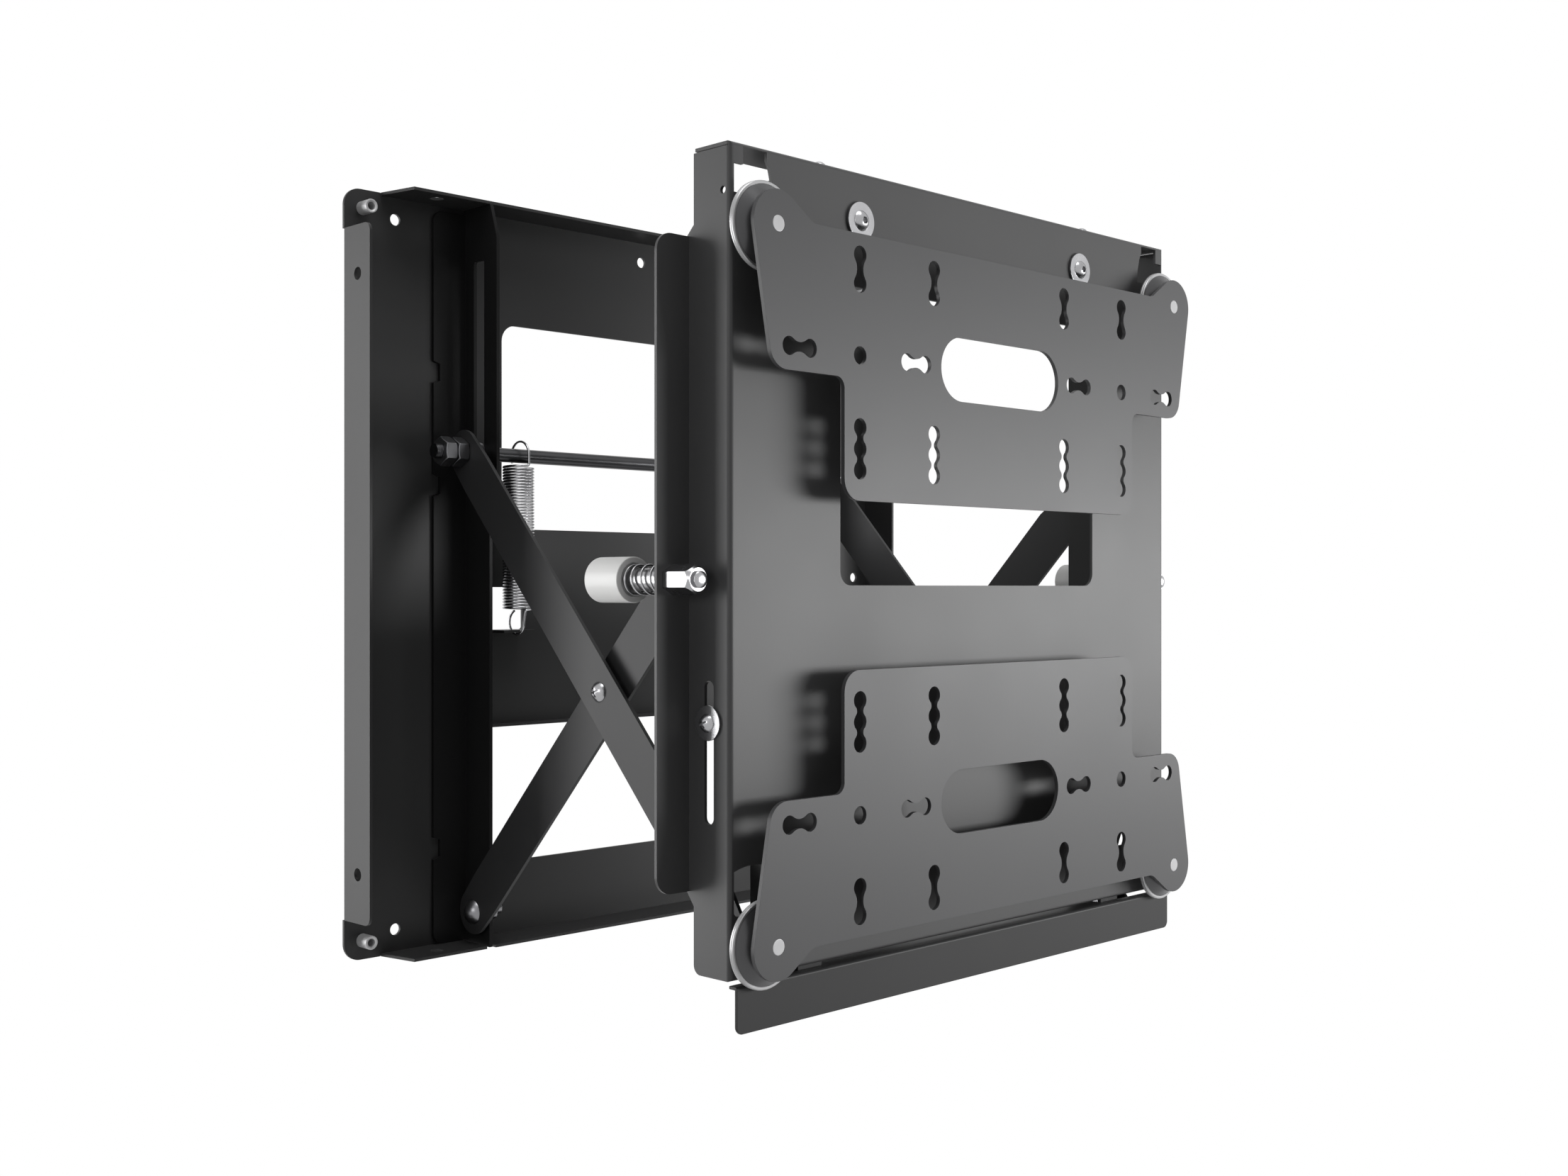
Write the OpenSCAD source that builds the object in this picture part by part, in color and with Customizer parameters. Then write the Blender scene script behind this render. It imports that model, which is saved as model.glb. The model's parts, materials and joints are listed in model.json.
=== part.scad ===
// Push-out wall mount for a flat display panel.
// +X is right, +Y points into the wall, +Z is up. The origin is the centre of the wall frame's back face.

/* [Wall frame] */
// Side of the square wall plate, over its flanges
wall_size = 783; // [760:1:820]
// Thickness of the folded sheet of the wall plate and the front pan
sheet_t = 3; // [2:0.5:4]
// Thickness of the channels, arms and display plates
plate_t = 4; // [3:0.5:5]
// Outer radius of a sheet bend
bend_r = 4.5; // [4:0.5:6]
// Depth of the flanges folded forward from the wall plate
wall_flange_d = 51; // [45:1:60]
// Corner radius of the wall plate
wall_corner_r = 18; // [12:1:22]
// Distance from the plate's edge to the ends of the side flanges
side_flange_inset = 42.5; // [31.5:0.5:70]
// Distance from the plate's edge to the ends of the top and bottom flanges
top_flange_inset = 41.5; // [36.5:0.5:60]
// Half width of the upper window in the wall plate
window_half_w = 198.3; // [170:0.1:205]
// Bottom of the upper window
upper_window_z0 = 50.5; // [40:0.5:60]
// Top of the upper window
upper_window_z1 = 272.6; // [250:0.1:300]
// Bottom of the lower window
lower_window_z0 = -311.6; // [-330:0.1:-290]
// Top of the lower window
lower_window_z1 = -163.6; // [-175:0.1:-150]
// Half width of the lower window
lower_window_half_w = 232; // [205:1:236]
// Corner radius of the windows
window_r = 18; // [10:1:25]
// Depth of the stiffening lip along the lower window
window_lip_d = 14; // [8:1:20]
// Bore of the wall screw holes
wall_hole_d = 12; // [8:0.5:14]
// Distance of the wall screw holes from the side edges
wall_hole_inset_x = 59.5; // [51.5:0.5:80]
// Distance of the wall screw holes from the top and bottom edges
wall_hole_inset_z = 25.2; // [21.5:0.1:29.5]
// Distance of the middle screw holes from the side edges
wall_mid_inset = 25.5; // [19.5:0.5:50]
// Distance of the corner barrels from the side edges
barrel_inset_x = 20.8; // [17.5:0.1:25.5]
// Distance of the corner barrels from the top and bottom edges
barrel_inset_z = 19.5; // [17.5:0.5:25.5]
// Outer diameter of a corner barrel
barrel_d = 14; // [12:0.5:18]
// Bore of a corner barrel
barrel_bore_d = 8; // [5:0.5:9]
// Length of a corner barrel
barrel_len = 18; // [12:1:25]

/* [Wall channels] */
// Place of the outer face of a wall channel's web
web_x = 247.7; // [246.5:0.1:248.5]
// Width of the foot that lies on the wall plate
foot_w = 40.3; // [34:0.1:46]
// Depth of the notches in the edge of the foot
foot_notch = 8; // [4:1:10]
// Depth of the web above its step
web_depth_top = 62.6; // [60:0.1:70]
// Depth of the web below its step
web_depth_low = 50; // [46:1:56]
// Height of the step in the front edge of the web
web_step_z = 81; // [70:1:95]
// Distance of the rear pivots and the guide slot from the wall
pivot_y = 31; // [30:0.5:33]
// Width of the guide slots
guide_slot_w = 18.5; // [17:0.1:20]
// Top of the guide slot in the web
guide_top_z = 331.5; // [325:0.5:340]

/* [Scissor arms] */
// Length from an arm's end pivot to its centre pivot
arm_half = 330; // [326:1:334]
// Angle of the arms above the horizontal when the mount is pushed out
open_angle = 47; // [45:0.5:50]
// Angle of the arms when the mount is folded to the wall
closed_angle = 81.28; // [78:0.01:81.5]
// Height of the lower pivots
pivot_low_z = -354.6; // [-358:0.1:-350]
// Width of an arm
arm_w = 50; // [40:1:52]
// Radius of an arm's end at the wall
arm_rear_r = 23.5; // [20:0.5:23.5]
// Radius of an arm's slimmer end at the front
arm_front_r = 16; // [13:0.5:16]
// Place of the outer face of the inner arm
arm_b_x = 255.5; // [255:0.1:256]
// Thickness of the spacer between the two arms
arm_gap = 8.5; // [8:0.1:10]
// Diameter of the end pivot bolts
pivot_d = 12; // [10:0.5:13]
// Diameter of the centre pivot screw
centre_d = 10; // [8:0.5:12]
// Diameter of the cross rod
rod_d = 15; // [12:0.5:16]
// Half length of the cross rod
rod_half = 304; // [300:0.5:308]
// Size of the rod nuts across their flats
rod_nut_af = 27; // [22:0.5:30]
// Thickness of a rod nut
rod_nut_t = 13.5; // [10:0.5:14]

/* [Springs] */
// Place of the lift springs' axes
lift_x = 196.6; // [190:0.1:200]
// Outer diameter of a lift spring
lift_od = 34.5; // [30:0.5:38]
// Wire of a lift spring
lift_wire = 2.9; // [2.5:0.1:3.2]
// Curls of a lift spring
lift_turns = 38; // [30:1:38]
// Bottom of a lift spring's coil
lift_z0 = -38.7; // [-45:0.1:-35]
// Top of a lift spring's coil
lift_z1 = 118.5; // [114:0.1:119]
// Outer diameter of a plunger spring
plunger_spring_od = 27.5; // [26:0.5:30]
// Wire of a plunger spring
plunger_wire = 2.5; // [2:0.1:3]
// Curls of a plunger spring
plunger_turns = 3.5; // [3:0.5:4]

/* [Carriage] */
// Place of the outer face of a front channel's web
carriage_x = 242.7; // [240:0.1:243]
// Depth of a front channel's web behind the pan
carriage_depth = 60; // [55:1:64]
// Width of a front channel's foot
carriage_foot_w = 30; // [22:1:36]
// Top of the front channels and their top rail
carriage_top_z = 345; // [340:1:348]
// Height of the top rail's upright leaf
rail_h = 55; // [45:1:60]
// Depth of the top rail's ledge
ledge_d = 30; // [24:1:34]
// Half width of the hanging bottom rail
lip_half_w = 325; // [300:1:330]
// Bottom of the hanging bottom rail
lip_bottom_z = -385.1; // [-390:0.1:-382]
// Front face of the hanging bottom rail
lip_front_y = 508; // [507:0.1:509]

/* [Front pan] */
// Distance of the pan's front face from the wall
pan_front_y = 501.3; // [500:0.1:503]
// Half width of the pan over its side walls
pan_half_w = 326.5; // [324:0.5:330]
// Top of the pan
pan_top_z = 358.4; // [356:0.1:362]
// Bottom of the pan's side walls
pan_side_z0 = -341.6; // [-341.6:0.1:-340]
// Bottom of the pan's front plate
pan_bottom_z = -341.6; // [-341.6:0.1:-328]
// Depth of the pan's side walls
pan_side_d = 45; // [40:0.5:50]
// Depth of the pan over its outward flanges
pan_flange_d = 54; // [52:0.5:58]
// Half width of the pan over its outward flanges
pan_flange_half = 362.7; // [360:0.1:366]
// Bottom of the outward flanges
pan_flange_z0 = -272; // [-280:1:-260]
// Top of the outward flanges
pan_flange_z1 = 285.3; // [275:0.1:295]
// Half width of the pan's window
pan_window_half = 192.5; // [180:0.5:196]
// Bottom of the pan's window
pan_window_z0 = -11.6; // [-20:0.1:0]
// Top of the pan's window
pan_window_z1 = 255.4; // [240:0.1:265]
// Place of the height screws across
height_screw_x = 200; // [190:1:210]
// Diameter of the height screws
height_screw_d = 12; // [10:0.5:14]
// Highest lift of the pan on its height screws
pan_lift = 7.5; // [5:0.5:8]
// Place of the lock bolts across
lock_x = 167.5; // [160:0.5:175]
// Height of the lock bolts
lock_z = 314.5; // [312:0.5:318]
// Diameter of the lock bolts
lock_d = 10; // [8:0.5:11]
// Diameter of the washers under the lock bolts
lock_washer_d = 34; // [31:1:36]

/* [Side clamps] */
// Width of the slot in a side wall
clamp_slot_w = 11.5; // [10:0.5:13]
// Bottom of that slot
clamp_slot_z0 = -213; // [-225:1:-200]
// Top of that slot
clamp_slot_z1 = -92; // [-100:1:-85]
// Height of the clamp screw
clamp_z = -127.5; // [-140:0.5:-115]
// Diameter of the clamp washer
clamp_washer_d = 30; // [26:1:34]

/* [Plungers] */
// Place of the plungers across
plunger_x = 345.6; // [345:0.1:347]
// Height of the plungers
plunger_z = -6.8; // [-20:0.1:10]
// Diameter of a bumper
bumper_d = 40; // [34:1:40]
// Length of a bumper
bumper_len = 46; // [42:1:50]
// Length of the plunger spring
plunger_gap = 46; // [42:1:48]
// Outer diameter of the sleeve that guides a bumper
sleeve_d = 19.5; // [17:0.5:20]
// Size of the plunger nut across its flats
plunger_nut_af = 22.5; // [20:0.5:25]
// Length of the plunger nut
plunger_nut_len = 33; // [28:1:36]

/* [Display plates] */
// Distance of the display plates' front face from the wall
plate_front_y = 532; // [530:0.5:534]
// Half spacing of the corner studs
stud_half = 300; // [295:1:303]
// Height of the middle of the display pattern
pattern_z = -11.6; // [-20:0.1:0]
// Radius of a display plate's ears
ear_r = 28.5; // [26:0.5:31]
// Half spacing of the round display holes
display_hole_half = 200; // [190:5:205]
// Diameter of the round display holes
display_hole_d = 16; // [12:0.5:18]
// Radius of the lobes of the display slots
lobe_r = 8; // [6:0.5:9]
// Spacing of the lobes of a display slot
lobe_step = 25; // [22:0.5:28]
// Half length of the hand window in a display plate
hand_half = 90; // [80:1:95]
// Height of the hand window
hand_h = 59.5; // [50:0.5:64]
// Diameter of an adjuster wheel
wheel_d = 76; // [70:1:78]
// Distance of the wheel's rim from the wall
wheel_rim_y = 512; // [511.5:0.1:514]
// Thickness of the wheel's rim
wheel_rim_t = 5; // [4:0.5:6]
// Diameter of the stud where it fills the display plate
stud_pin_d = 14; // [12:0.5:16]
// Diameter of the stud's thread
stud_d = 10; // [8:0.5:11]

/* [Hidden] */

// Smoothness of round parts
$fn = 64;
// Running clearance of a pin in its bore, on the radius
running = 0.05;
// Clearance between pieces that slide past each other
slide_gap = 0.3;
// Extra length of a cutter past the face that it cuts
over = 1;
// How far straight edges stay inside the circles that they run into, so that the two join cleanly
blend = 0.02;

wall_half = wall_size / 2;
side_flange_half = wall_half - side_flange_inset;
top_flange_half = wall_half - top_flange_inset;
wall_hole_x = wall_half - wall_hole_inset_x;
wall_hole_z = wall_half - wall_hole_inset_z;
wall_mid_x = wall_half - wall_mid_inset;
barrel_x = wall_half - barrel_inset_x;
barrel_z = wall_half - barrel_inset_z;
arm_a_x = arm_b_x + arm_gap + plate_t;
arm_len = 2 * arm_half;
front_pivot_y = pivot_y + arm_len * cos(open_angle);
rod_z = pivot_low_z + arm_len * sin(open_angle);
rod_high_z = pivot_low_z + arm_len * sin(closed_angle);
centre_y = pivot_y + arm_half * cos(open_angle);
centre_z = pivot_low_z + arm_half * sin(open_angle);
foot_y = sheet_t + plate_t;
carriage_front_y = pan_front_y - sheet_t - slide_gap;
carriage_rear_y = carriage_front_y - carriage_depth;
flange_rear_y = pan_front_y - pan_flange_d;
plunger_front_y = flange_rear_y + sheet_t;
bumper_front_y = flange_rear_y - plunger_gap;
clamp_y = pan_front_y - 25.8;
height_screw_y = pan_front_y - 19.3;
roller_d = guide_slot_w - 2 * slide_gap;
plate_rear_y = plate_front_y - plate_t;
carriage_bottom_z = lip_bottom_z + 3;
// Size of the doors behind the lift springs' lower hooks
spring_door_w = 51.4;
spring_door_h = 46;
// The tongues that hold those hooks
tab_z1 = -59;
tab_w = 41;
tab_d = pivot_y + 2.5;
tab_bridge = 5;
// Small cable slots and small holes behind the side flanges
cable_slot_x = wall_half - 27;
cable_slot_z = 219.5;
small_hole_z = wall_half - 59.5;
// Height of the holes in the flanges, and their place across
flange_hole = 300;
// Top of a wall channel's foot, and the heights of the notches in its edge
foot_top_z = wall_half - 8.5;
foot_notches = [213, 94, -287.5];
rear_bolt_end = 222;
nut_in_x = arm_a_x + slide_gap;
rod_ring_t = 1.5;
// The lift spring's coil line and its hooks
lift_r = (lift_od - lift_wire) / 2;
lift_coil_z0 = lift_z0 + lift_wire / 2;
lift_coil_z1 = lift_z1 - lift_wire / 2;
low_hook_r = 13;
low_hook_z = tab_z1 - sheet_t - slide_gap - lift_wire / 2 + low_hook_r;
hook_rings = 12;
plunger_r = (plunger_spring_od - plunger_wire) / 2;
sleeve_neck_d = 14.5;
sleeve_reach = 12;
lock_washer_t = 2.5;
clamp_washer_t = 2;
// Depth of the bottom rail's shelf, its gap below the pan, and the outer radius of the bend over its lip
shelf_d = 50;
rail_gap = 3.3;
lip_bend_r = 2.5;
// Open joint between the pan's top flange and its side walls
top_joint = 0.8;
pan_lip_half = carriage_x - carriage_foot_w - 6;
// Heights of a display plate's edges above the middle of the pattern
plate_top_z = 306;
plate_step_z = 179.7;
plate_low_z = 73.5;
plate_low_half = 220;
// Radius of its outer lower corners
tip_r = 20;
stud_end_y = 484;
// Depth of a wheel's hub behind its rim
hub_d = 7;

// Small helpers

// A box between two corners, each range given as [low, high]
module slab(x, y, z) {
    translate([x[0], y[0], z[0]])
        cube([x[1] - x[0], y[1] - y[0], z[1] - z[0]]);
}

// A flat rectangle between two corners with round corners
module round_rect(x, y, r) {
    translate([x[0] + r, y[0]])
        square([x[1] - x[0] - 2 * r, y[1] - y[0]]);
    translate([x[0], y[0] + r])
        square([x[1] - x[0], y[1] - y[0] - 2 * r]);
    for (cx = [x[0] + r, x[1] - r], cy = [y[0] + r, y[1] - r])
        translate([cx, cy])
            circle(r);
}

// A slot with round ends, upright at x, from z0 to z1
module upright_slot(x, z0, z1, w) {
    translate([x - w / 2, z0 + w / 2])
        square([w, z1 - z0 - w]);
    for (z = [z0 + w / 2, z1 - w / 2])
        translate([x, z])
            circle(d = w);
}

// Lays a drawing of X and Z on a plane that faces the front, from distance y0 to y1 off the wall
module facing_front(y0, y1) {
    translate([0, -y0, 0])
        rotate([90, 0, 0])
            linear_extrude(y1 - y0)
                children();
}

// Lays a drawing of distance off the wall and Z on a plane that faces left, from x0 to x1
module facing_side(x0, x1) {
    translate([x0, 0, 0])
        rotate([90, 0, -90])
            translate([0, 0, x0 - x1])
                linear_extrude(x1 - x0)
                    children();
}

// A round bar along X at distance y off the wall
module bar_x(x0, x1, y, z, r) {
    translate([x0, -y, z])
        rotate([0, 90, 0])
            cylinder(h = x1 - x0, r = r);
}

// A round bar along Y, from distance y0 to y1 off the wall
module bar_y(x, z, y0, y1, r) {
    translate([x, -y0, z])
        rotate([90, 0, 0])
            cylinder(h = y1 - y0, r = r);
}

// A hexagonal prism along X with a corner up, and a round bore
module nut_x(x0, x1, y, z, af, bore_r) {
    translate([x0, -y, z])
        rotate([0, 90, 0])
            difference() {
                intersection() {
                    cylinder(h = x1 - x0, d = af / cos(30), $fn = 6);
                    nut_chamfer(x1 - x0, af);
                }
                translate([0, 0, -over])
                    cylinder(h = x1 - x0 + 2 * over, r = bore_r);
            }
}

// The turned body that rounds off the corners of a nut
module nut_chamfer(h, af) {
    corner = af / 2 / cos(30);
    cut = corner - af / 2 * 0.97;
    rotate_extrude()
        polygon([[0, 0], [corner - cut, 0], [corner, cut * 0.6], [corner, h - cut * 0.6], [corner - cut, h], [0, h]]);
}

// A domed head that stands on the plane z = 0
module dome(d, h) {
    r = (d * d / 4 + h * h) / (2 * h);
    intersection() {
        translate([0, 0, h - r])
            sphere(r);
        cylinder(h = h, d = d);
    }
}

// A domed head along X, dir -1 to the left and 1 to the right
module dome_x(x, y, z, d, h, dir) {
    translate([x, -y, z])
        rotate([0, 90 * dir, 0])
            dome(d, h);
}

// A cross recess, sunk from the plane z = 0
module cross_recess(size, depth) {
    for (a = [0, 90])
        rotate([0, 0, a])
            translate([-size / 2, -size / 10, -depth])
                cube([size, size / 5, depth + over]);
}

// Draws a left-hand piece on the left, or mirrored on the right
module on_side(right) {
    if (right)
        mirror([1, 0, 0])
            children();
    else
        children();
}

// Draws a piece on both sides
module both_sides() {
    for (right = [false, true])
        on_side(right)
            children();
}

// The corner that a bend of radius r leaves off, at the origin, with the bend towards +X and +Y
module bend_cut(r) {
    difference() {
        translate([-over, -over])
            square(r + over);
        translate([r, r])
            circle(r);
    }
}

// Wall frame

// The sheet of the wall plate with its windows
module wall_sheet() {
    difference() {
        round_rect([-wall_half, wall_half], [-wall_half, wall_half], wall_corner_r);
        round_rect([-window_half_w, window_half_w], [upper_window_z0, upper_window_z1], window_r);
        round_rect([-lower_window_half_w, lower_window_half_w], [lower_window_z0, lower_window_z1], window_r);
        for (side = [-1, 1]) {
            round_rect([side * lift_x - spring_door_w / 2, side * lift_x + spring_door_w / 2],
                [tab_z1, tab_z1 + spring_door_h], 3);
            for (z = [-1, 1]) {
                upright_slot(side * cable_slot_x, z * cable_slot_z - 14, z * cable_slot_z + 14, 9);
                translate([side * cable_slot_x, z * small_hole_z])
                    circle(4.5);
                translate([side * barrel_x, z * barrel_z])
                    circle(d = barrel_bore_d);
            }
        }
        wall_screw_holes();
    }
}

// The holes for the wall screws
module wall_screw_holes() {
    for (z = [-wall_hole_z, wall_hole_z], x = [-wall_hole_x, wall_hole_x])
        translate([x, z])
            circle(d = wall_hole_d);
    translate([0, wall_hole_z])
        circle(d = wall_hole_d);
    for (x = [-wall_mid_x, wall_mid_x])
        translate([x, 0])
            circle(d = wall_hole_d);
}

// A flange as seen from its flat side, with round front corners
module flange_shape(d, z0, z1, r) {
    round_rect([0, d], [z0, z1], r);
    translate([0, z0])
        square([d - r, z1 - z0]);
}

// One side flange of the wall plate
module side_flange() {
    facing_side(-wall_half, -wall_half + sheet_t)
        difference() {
            flange_shape(wall_flange_d, -side_flange_half, side_flange_half, 9);
            for (z = [-flange_hole, flange_hole])
                translate([wall_flange_d - 22.4, z])
                    circle(d = 13);
        }
}

// The top flange of the wall plate, drawn looking down
module top_flange(notched) {
    translate([0, 0, wall_half - sheet_t])
        linear_extrude(sheet_t)
            difference() {
                polygon([
                    [-top_flange_half, 0],
                    [top_flange_half, 0],
                    [top_flange_half - 10, -wall_flange_d],
                    [10 - top_flange_half, -wall_flange_d]
                ]);
                for (x = [-flange_hole, flange_hole])
                    translate([x, -pivot_y])
                        circle(d = 14);
                if (notched)
                    for (x = [-1, 1])
                        translate([x * (web_x - plate_t / 2) - 5.5, -wall_flange_d - over])
                            square([11, wall_flange_d - sheet_t + over]);
            }
}

// The tongue that the lower hook of a lift spring holds on to
module spring_tab() {
    translate([0, 0, tab_z1 - sheet_t])
        linear_extrude(sheet_t)
            difference() {
                translate([-lift_x - tab_w / 2, -tab_d])
                    square([tab_w, tab_d]);
                translate([-lift_x - 3, tab_bridge - tab_d])
                    square([6, 11]);
            }
}

// The plate that is screwed to the wall
module wall_plate() {
    color("#2d2d2f") {
        difference() {
            union() {
                facing_front(0, sheet_t)
                    wall_sheet();
                both_sides()
                    side_flange();
                top_flange(false);
                mirror([0, 0, 1])
                    top_flange(true);
            }
            // Outer radius of the side bends
            both_sides()
                translate([-wall_half, 0, -side_flange_half])
                    linear_extrude(2 * side_flange_half)
                        mirror([0, 1])
                            bend_cut(bend_r);
            // Outer radius of the top and bottom bends
            for (m = [0, 1])
                mirror([0, 0, m])
                    facing_side(-top_flange_half, top_flange_half)
                        translate([0, wall_half])
                            mirror([0, 1])
                                bend_cut(bend_r);
        }
        // Lip along the top of the lower window
        slab([-lower_window_half_w, lower_window_half_w], [-window_lip_d, -sheet_t],
            [lower_window_z1, lower_window_z1 + sheet_t]);
        both_sides()
            spring_tab();
    }
}

// The outline of a wall channel's foot
module foot_outline() {
    outer = -web_x - foot_w;
    difference() {
        union() {
            round_rect([outer, -web_x + plate_t], [-wall_half + sheet_t, foot_top_z], 12);
            translate([-web_x - 12, -wall_half + sheet_t])
                square([12 + plate_t, foot_top_z + wall_half - sheet_t]);
        }
        for (z = foot_notches)
            polygon([
                [outer - over, z - 11.5],
                [outer, z - 11.5],
                [outer + foot_notch, z - 9],
                [outer + foot_notch, z + 9],
                [outer, z + 11.5],
                [outer - over, z + 11.5]
            ]);
    }
}

// The upright web of a wall channel, with its guide slot and lower pivot hole
module web_outline() {
    difference() {
        polygon([
            [sheet_t, -wall_half + over],
            [web_depth_low, -wall_half + over],
            [web_depth_low, web_step_z - 8],
            [web_depth_top, web_step_z + 8],
            [web_depth_top, wall_half - 38.5],
            [wall_flange_d, wall_half - sheet_t],
            [sheet_t, wall_half - sheet_t]
        ]);
        round_rect([pivot_y - guide_slot_w / 2, pivot_y + guide_slot_w / 2], [rod_z - guide_slot_w * 0.75, guide_top_z], 3);
        translate([pivot_y, pivot_low_z])
            circle(pivot_d / 2 + running);
    }
}

// The angle on the wall plate that carries one scissor
module wall_channel() {
    color("#262628") {
        facing_front(sheet_t, foot_y)
            foot_outline();
        facing_side(-web_x, -web_x + plate_t)
            web_outline();
    }
}

// The threaded barrels at the corners of the wall plate
module corner_barrels() {
    color("#c9c9cb")
        for (x = [-barrel_x, barrel_x], z = [-barrel_z, barrel_z])
            difference() {
                bar_y(x, z, sheet_t, sheet_t + barrel_len, barrel_d / 2);
                bar_y(x, z, sheet_t - over, sheet_t + barrel_len + over, barrel_bore_d / 2);
            }
}

// Scissor arms and their pivots

// An arm laid along X, from its wall end at the origin, with a bore at each end and its centre
module arm_outline(rear_bore, front_bore) {
    difference() {
        union() {
            edge = [[0, arm_rear_r - blend], [arm_w / 2 + 6, arm_w / 2], [arm_len - 105, arm_w / 2],
                [arm_len - 60, arm_front_r], [arm_len, arm_front_r - blend]];
            polygon(concat([for (p = edge) [p[0], -p[1]]], [for (i = [len(edge) - 1:-1:0]) edge[i]]));
            circle(arm_rear_r);
            translate([arm_len, 0])
                circle(arm_front_r);
        }
        circle(rear_bore);
        translate([arm_half, 0])
            circle(centre_d / 2 + running);
        translate([arm_len, 0])
            circle(front_bore);
    }
}

// The inner arm, hinged low on the wall channel
module arm_b() {
    color("#303032")
        facing_side(-arm_b_x, -arm_b_x + plate_t)
            translate([pivot_y, pivot_low_z])
                rotate(open_angle)
                    arm_outline(pivot_d / 2 + running, pivot_d / 2 + running);
}

// The outer arm, carried by the cross rod; spare is the play on the radius at its end pivots
module arm_a(spare) {
    color("#3a3a3c")
        facing_side(-arm_a_x, -arm_a_x + plate_t)
            translate([pivot_y, rod_z])
                rotate(-open_angle)
                    arm_outline(rod_d / 2 + spare, pivot_d / 2 + spare);
}

// The bolts that hinge the inner arms on the wall channels
module rear_pivot_bolts() {
    color("#a9a9ab")
        both_sides() {
            dome_x(-arm_b_x - slide_gap, pivot_y, pivot_low_z, 26, 8.5, -1);
            bar_x(-arm_b_x - slide_gap, -rear_bolt_end, pivot_y, pivot_low_z, pivot_d / 2);
        }
}

// The nuts of those bolts
module rear_pivot_nuts() {
    color("#8e8e90")
        both_sides()
            nut_x(-web_x + plate_t, -web_x + plate_t + 12.5, pivot_y, pivot_low_z, 22, pivot_d / 2 + running);
}

// The bushes between the inner arms and the wall channels
module rear_pivot_bushes() {
    color("#8e8e90")
        both_sides()
            ring_x(-arm_b_x + plate_t + slide_gap, -web_x, pivot_y, pivot_low_z, 11, pivot_d / 2 + running);
}

// A ring along X
module ring_x(x0, x1, y, z, r, bore_r) {
    difference() {
        bar_x(x0, x1, y, z, r);
        bar_x(x0 - over, x1 + over, y, z, bore_r);
    }
}

// The cross-headed screw that pins the two arms, riveted over at its inner end
module centre_screw() {
    color("#c4c4c6")
        difference() {
            union() {
                dome_x(-arm_a_x, centre_y, centre_z, 20, 6.5, -1);
                bar_x(-arm_a_x, -arm_b_x + plate_t + slide_gap, centre_y, centre_z, centre_d / 2);
                bar_x(-arm_b_x + plate_t + slide_gap, -arm_b_x + plate_t + 3.7, centre_y, centre_z, 8);
            }
            translate([-arm_a_x - 6.5, -centre_y, centre_z])
                rotate([0, -90, 0])
                    rotate([0, 0, 20])
                        cross_recess(10, 3.5);
        }
}

// The spacer between the two arms
module centre_spacer() {
    color("#8e8e90")
        ring_x(-arm_a_x + plate_t, -arm_b_x - slide_gap, centre_y, centre_z, 13, centre_d / 2 + running);
}

// The rod that joins the outer arms and runs in the guide slots
module cross_rod() {
    color("#38383a")
        bar_x(-rod_half, rod_half, pivot_y, rod_z, rod_d / 2);
}

// The two nuts at each end of the rod
module rod_nuts() {
    color("#858587")
        both_sides()
            for (x = [nut_in_x, nut_in_x + rod_nut_t + rod_ring_t])
                nut_x(-x - rod_nut_t, -x, pivot_y, rod_z, rod_nut_af, rod_d / 2 + running);
}

// The rings between those nuts
module rod_rings() {
    color("#b4b4b6")
        both_sides()
            ring_x(-nut_in_x - rod_nut_t - rod_ring_t, -nut_in_x - rod_nut_t, pivot_y, rod_z, 11, rod_d / 2 + running);
}

// The bushes on the rod between the outer arms and the wall channels
module rod_bushes() {
    color("#a0a0a2")
        both_sides()
            ring_x(-arm_a_x + plate_t + slide_gap, -web_x - slide_gap, pivot_y, rod_z, 12, rod_d / 2 + running);
}

// The pin at the upper front end of an inner arm
module slide_pin() {
    inner = -carriage_x + plate_t + slide_gap;
    color("#a9a9ab") {
        dome_x(-arm_b_x, front_pivot_y, rod_z, 22, 4.5, -1);
        bar_x(-arm_b_x, inner, front_pivot_y, rod_z, pivot_d / 2);
        bar_x(inner, inner + plate_t, front_pivot_y, rod_z, 11.5);
    }
}

// The bush on that pin, which runs in the front channel's slot
module slide_roller() {
    color("#d8d8d4")
        ring_x(-arm_b_x + plate_t, -carriage_x + plate_t, front_pivot_y, rod_z, roller_d / 2, pivot_d / 2 + running);
}

// Springs

// Joins the points of a wire's centre line into one tube; each ring is square to the line
module wire_tube(path, r, sides) {
    n = len(path);
    tangents = [for (i = [0:n - 1]) unit(path[min(i + 1, n - 1)] - path[max(i - 1, 0)])];
    frames = carry_frames(tangents);
    points = [for (i = [0:n - 1], k = [0:sides - 1])
        let (a = 360 * k / sides)
        path[i] + r * (cos(a) * frames[i] + sin(a) * cross(tangents[i], frames[i]))];
    skin = [for (i = [0:n - 2], k = [0:sides - 1], half = [0, 1])
        let (a = i * sides + k, b = i * sides + (k + 1) % sides)
        half == 0 ? [a, b, b + sides] : [a, b + sides, a + sides]];
    caps = [
        for (k = [1:sides - 2]) [0, k + 1, k],
        for (k = [1:sides - 2]) [(n - 1) * sides, (n - 1) * sides + k, (n - 1) * sides + k + 1]
    ];
    polyhedron(points, concat([for (f = skin) [f[0], f[2], f[1]]], [for (f = caps) [f[0], f[2], f[1]]]));
}

function unit(v) = v / norm(v);

// Carries one side direction along the line with as little twist as can be
function carry_frames(t) = [
    for (i = 0, u = unit(cross(t[0], abs(t[0][2]) < 0.9 ? [0, 0, 1] : [1, 0, 0]));
        i < len(t);
        i = i + 1, u = i < len(t) ? unit(u - (u * t[i]) * t[i]) : u)
        u
];

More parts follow.
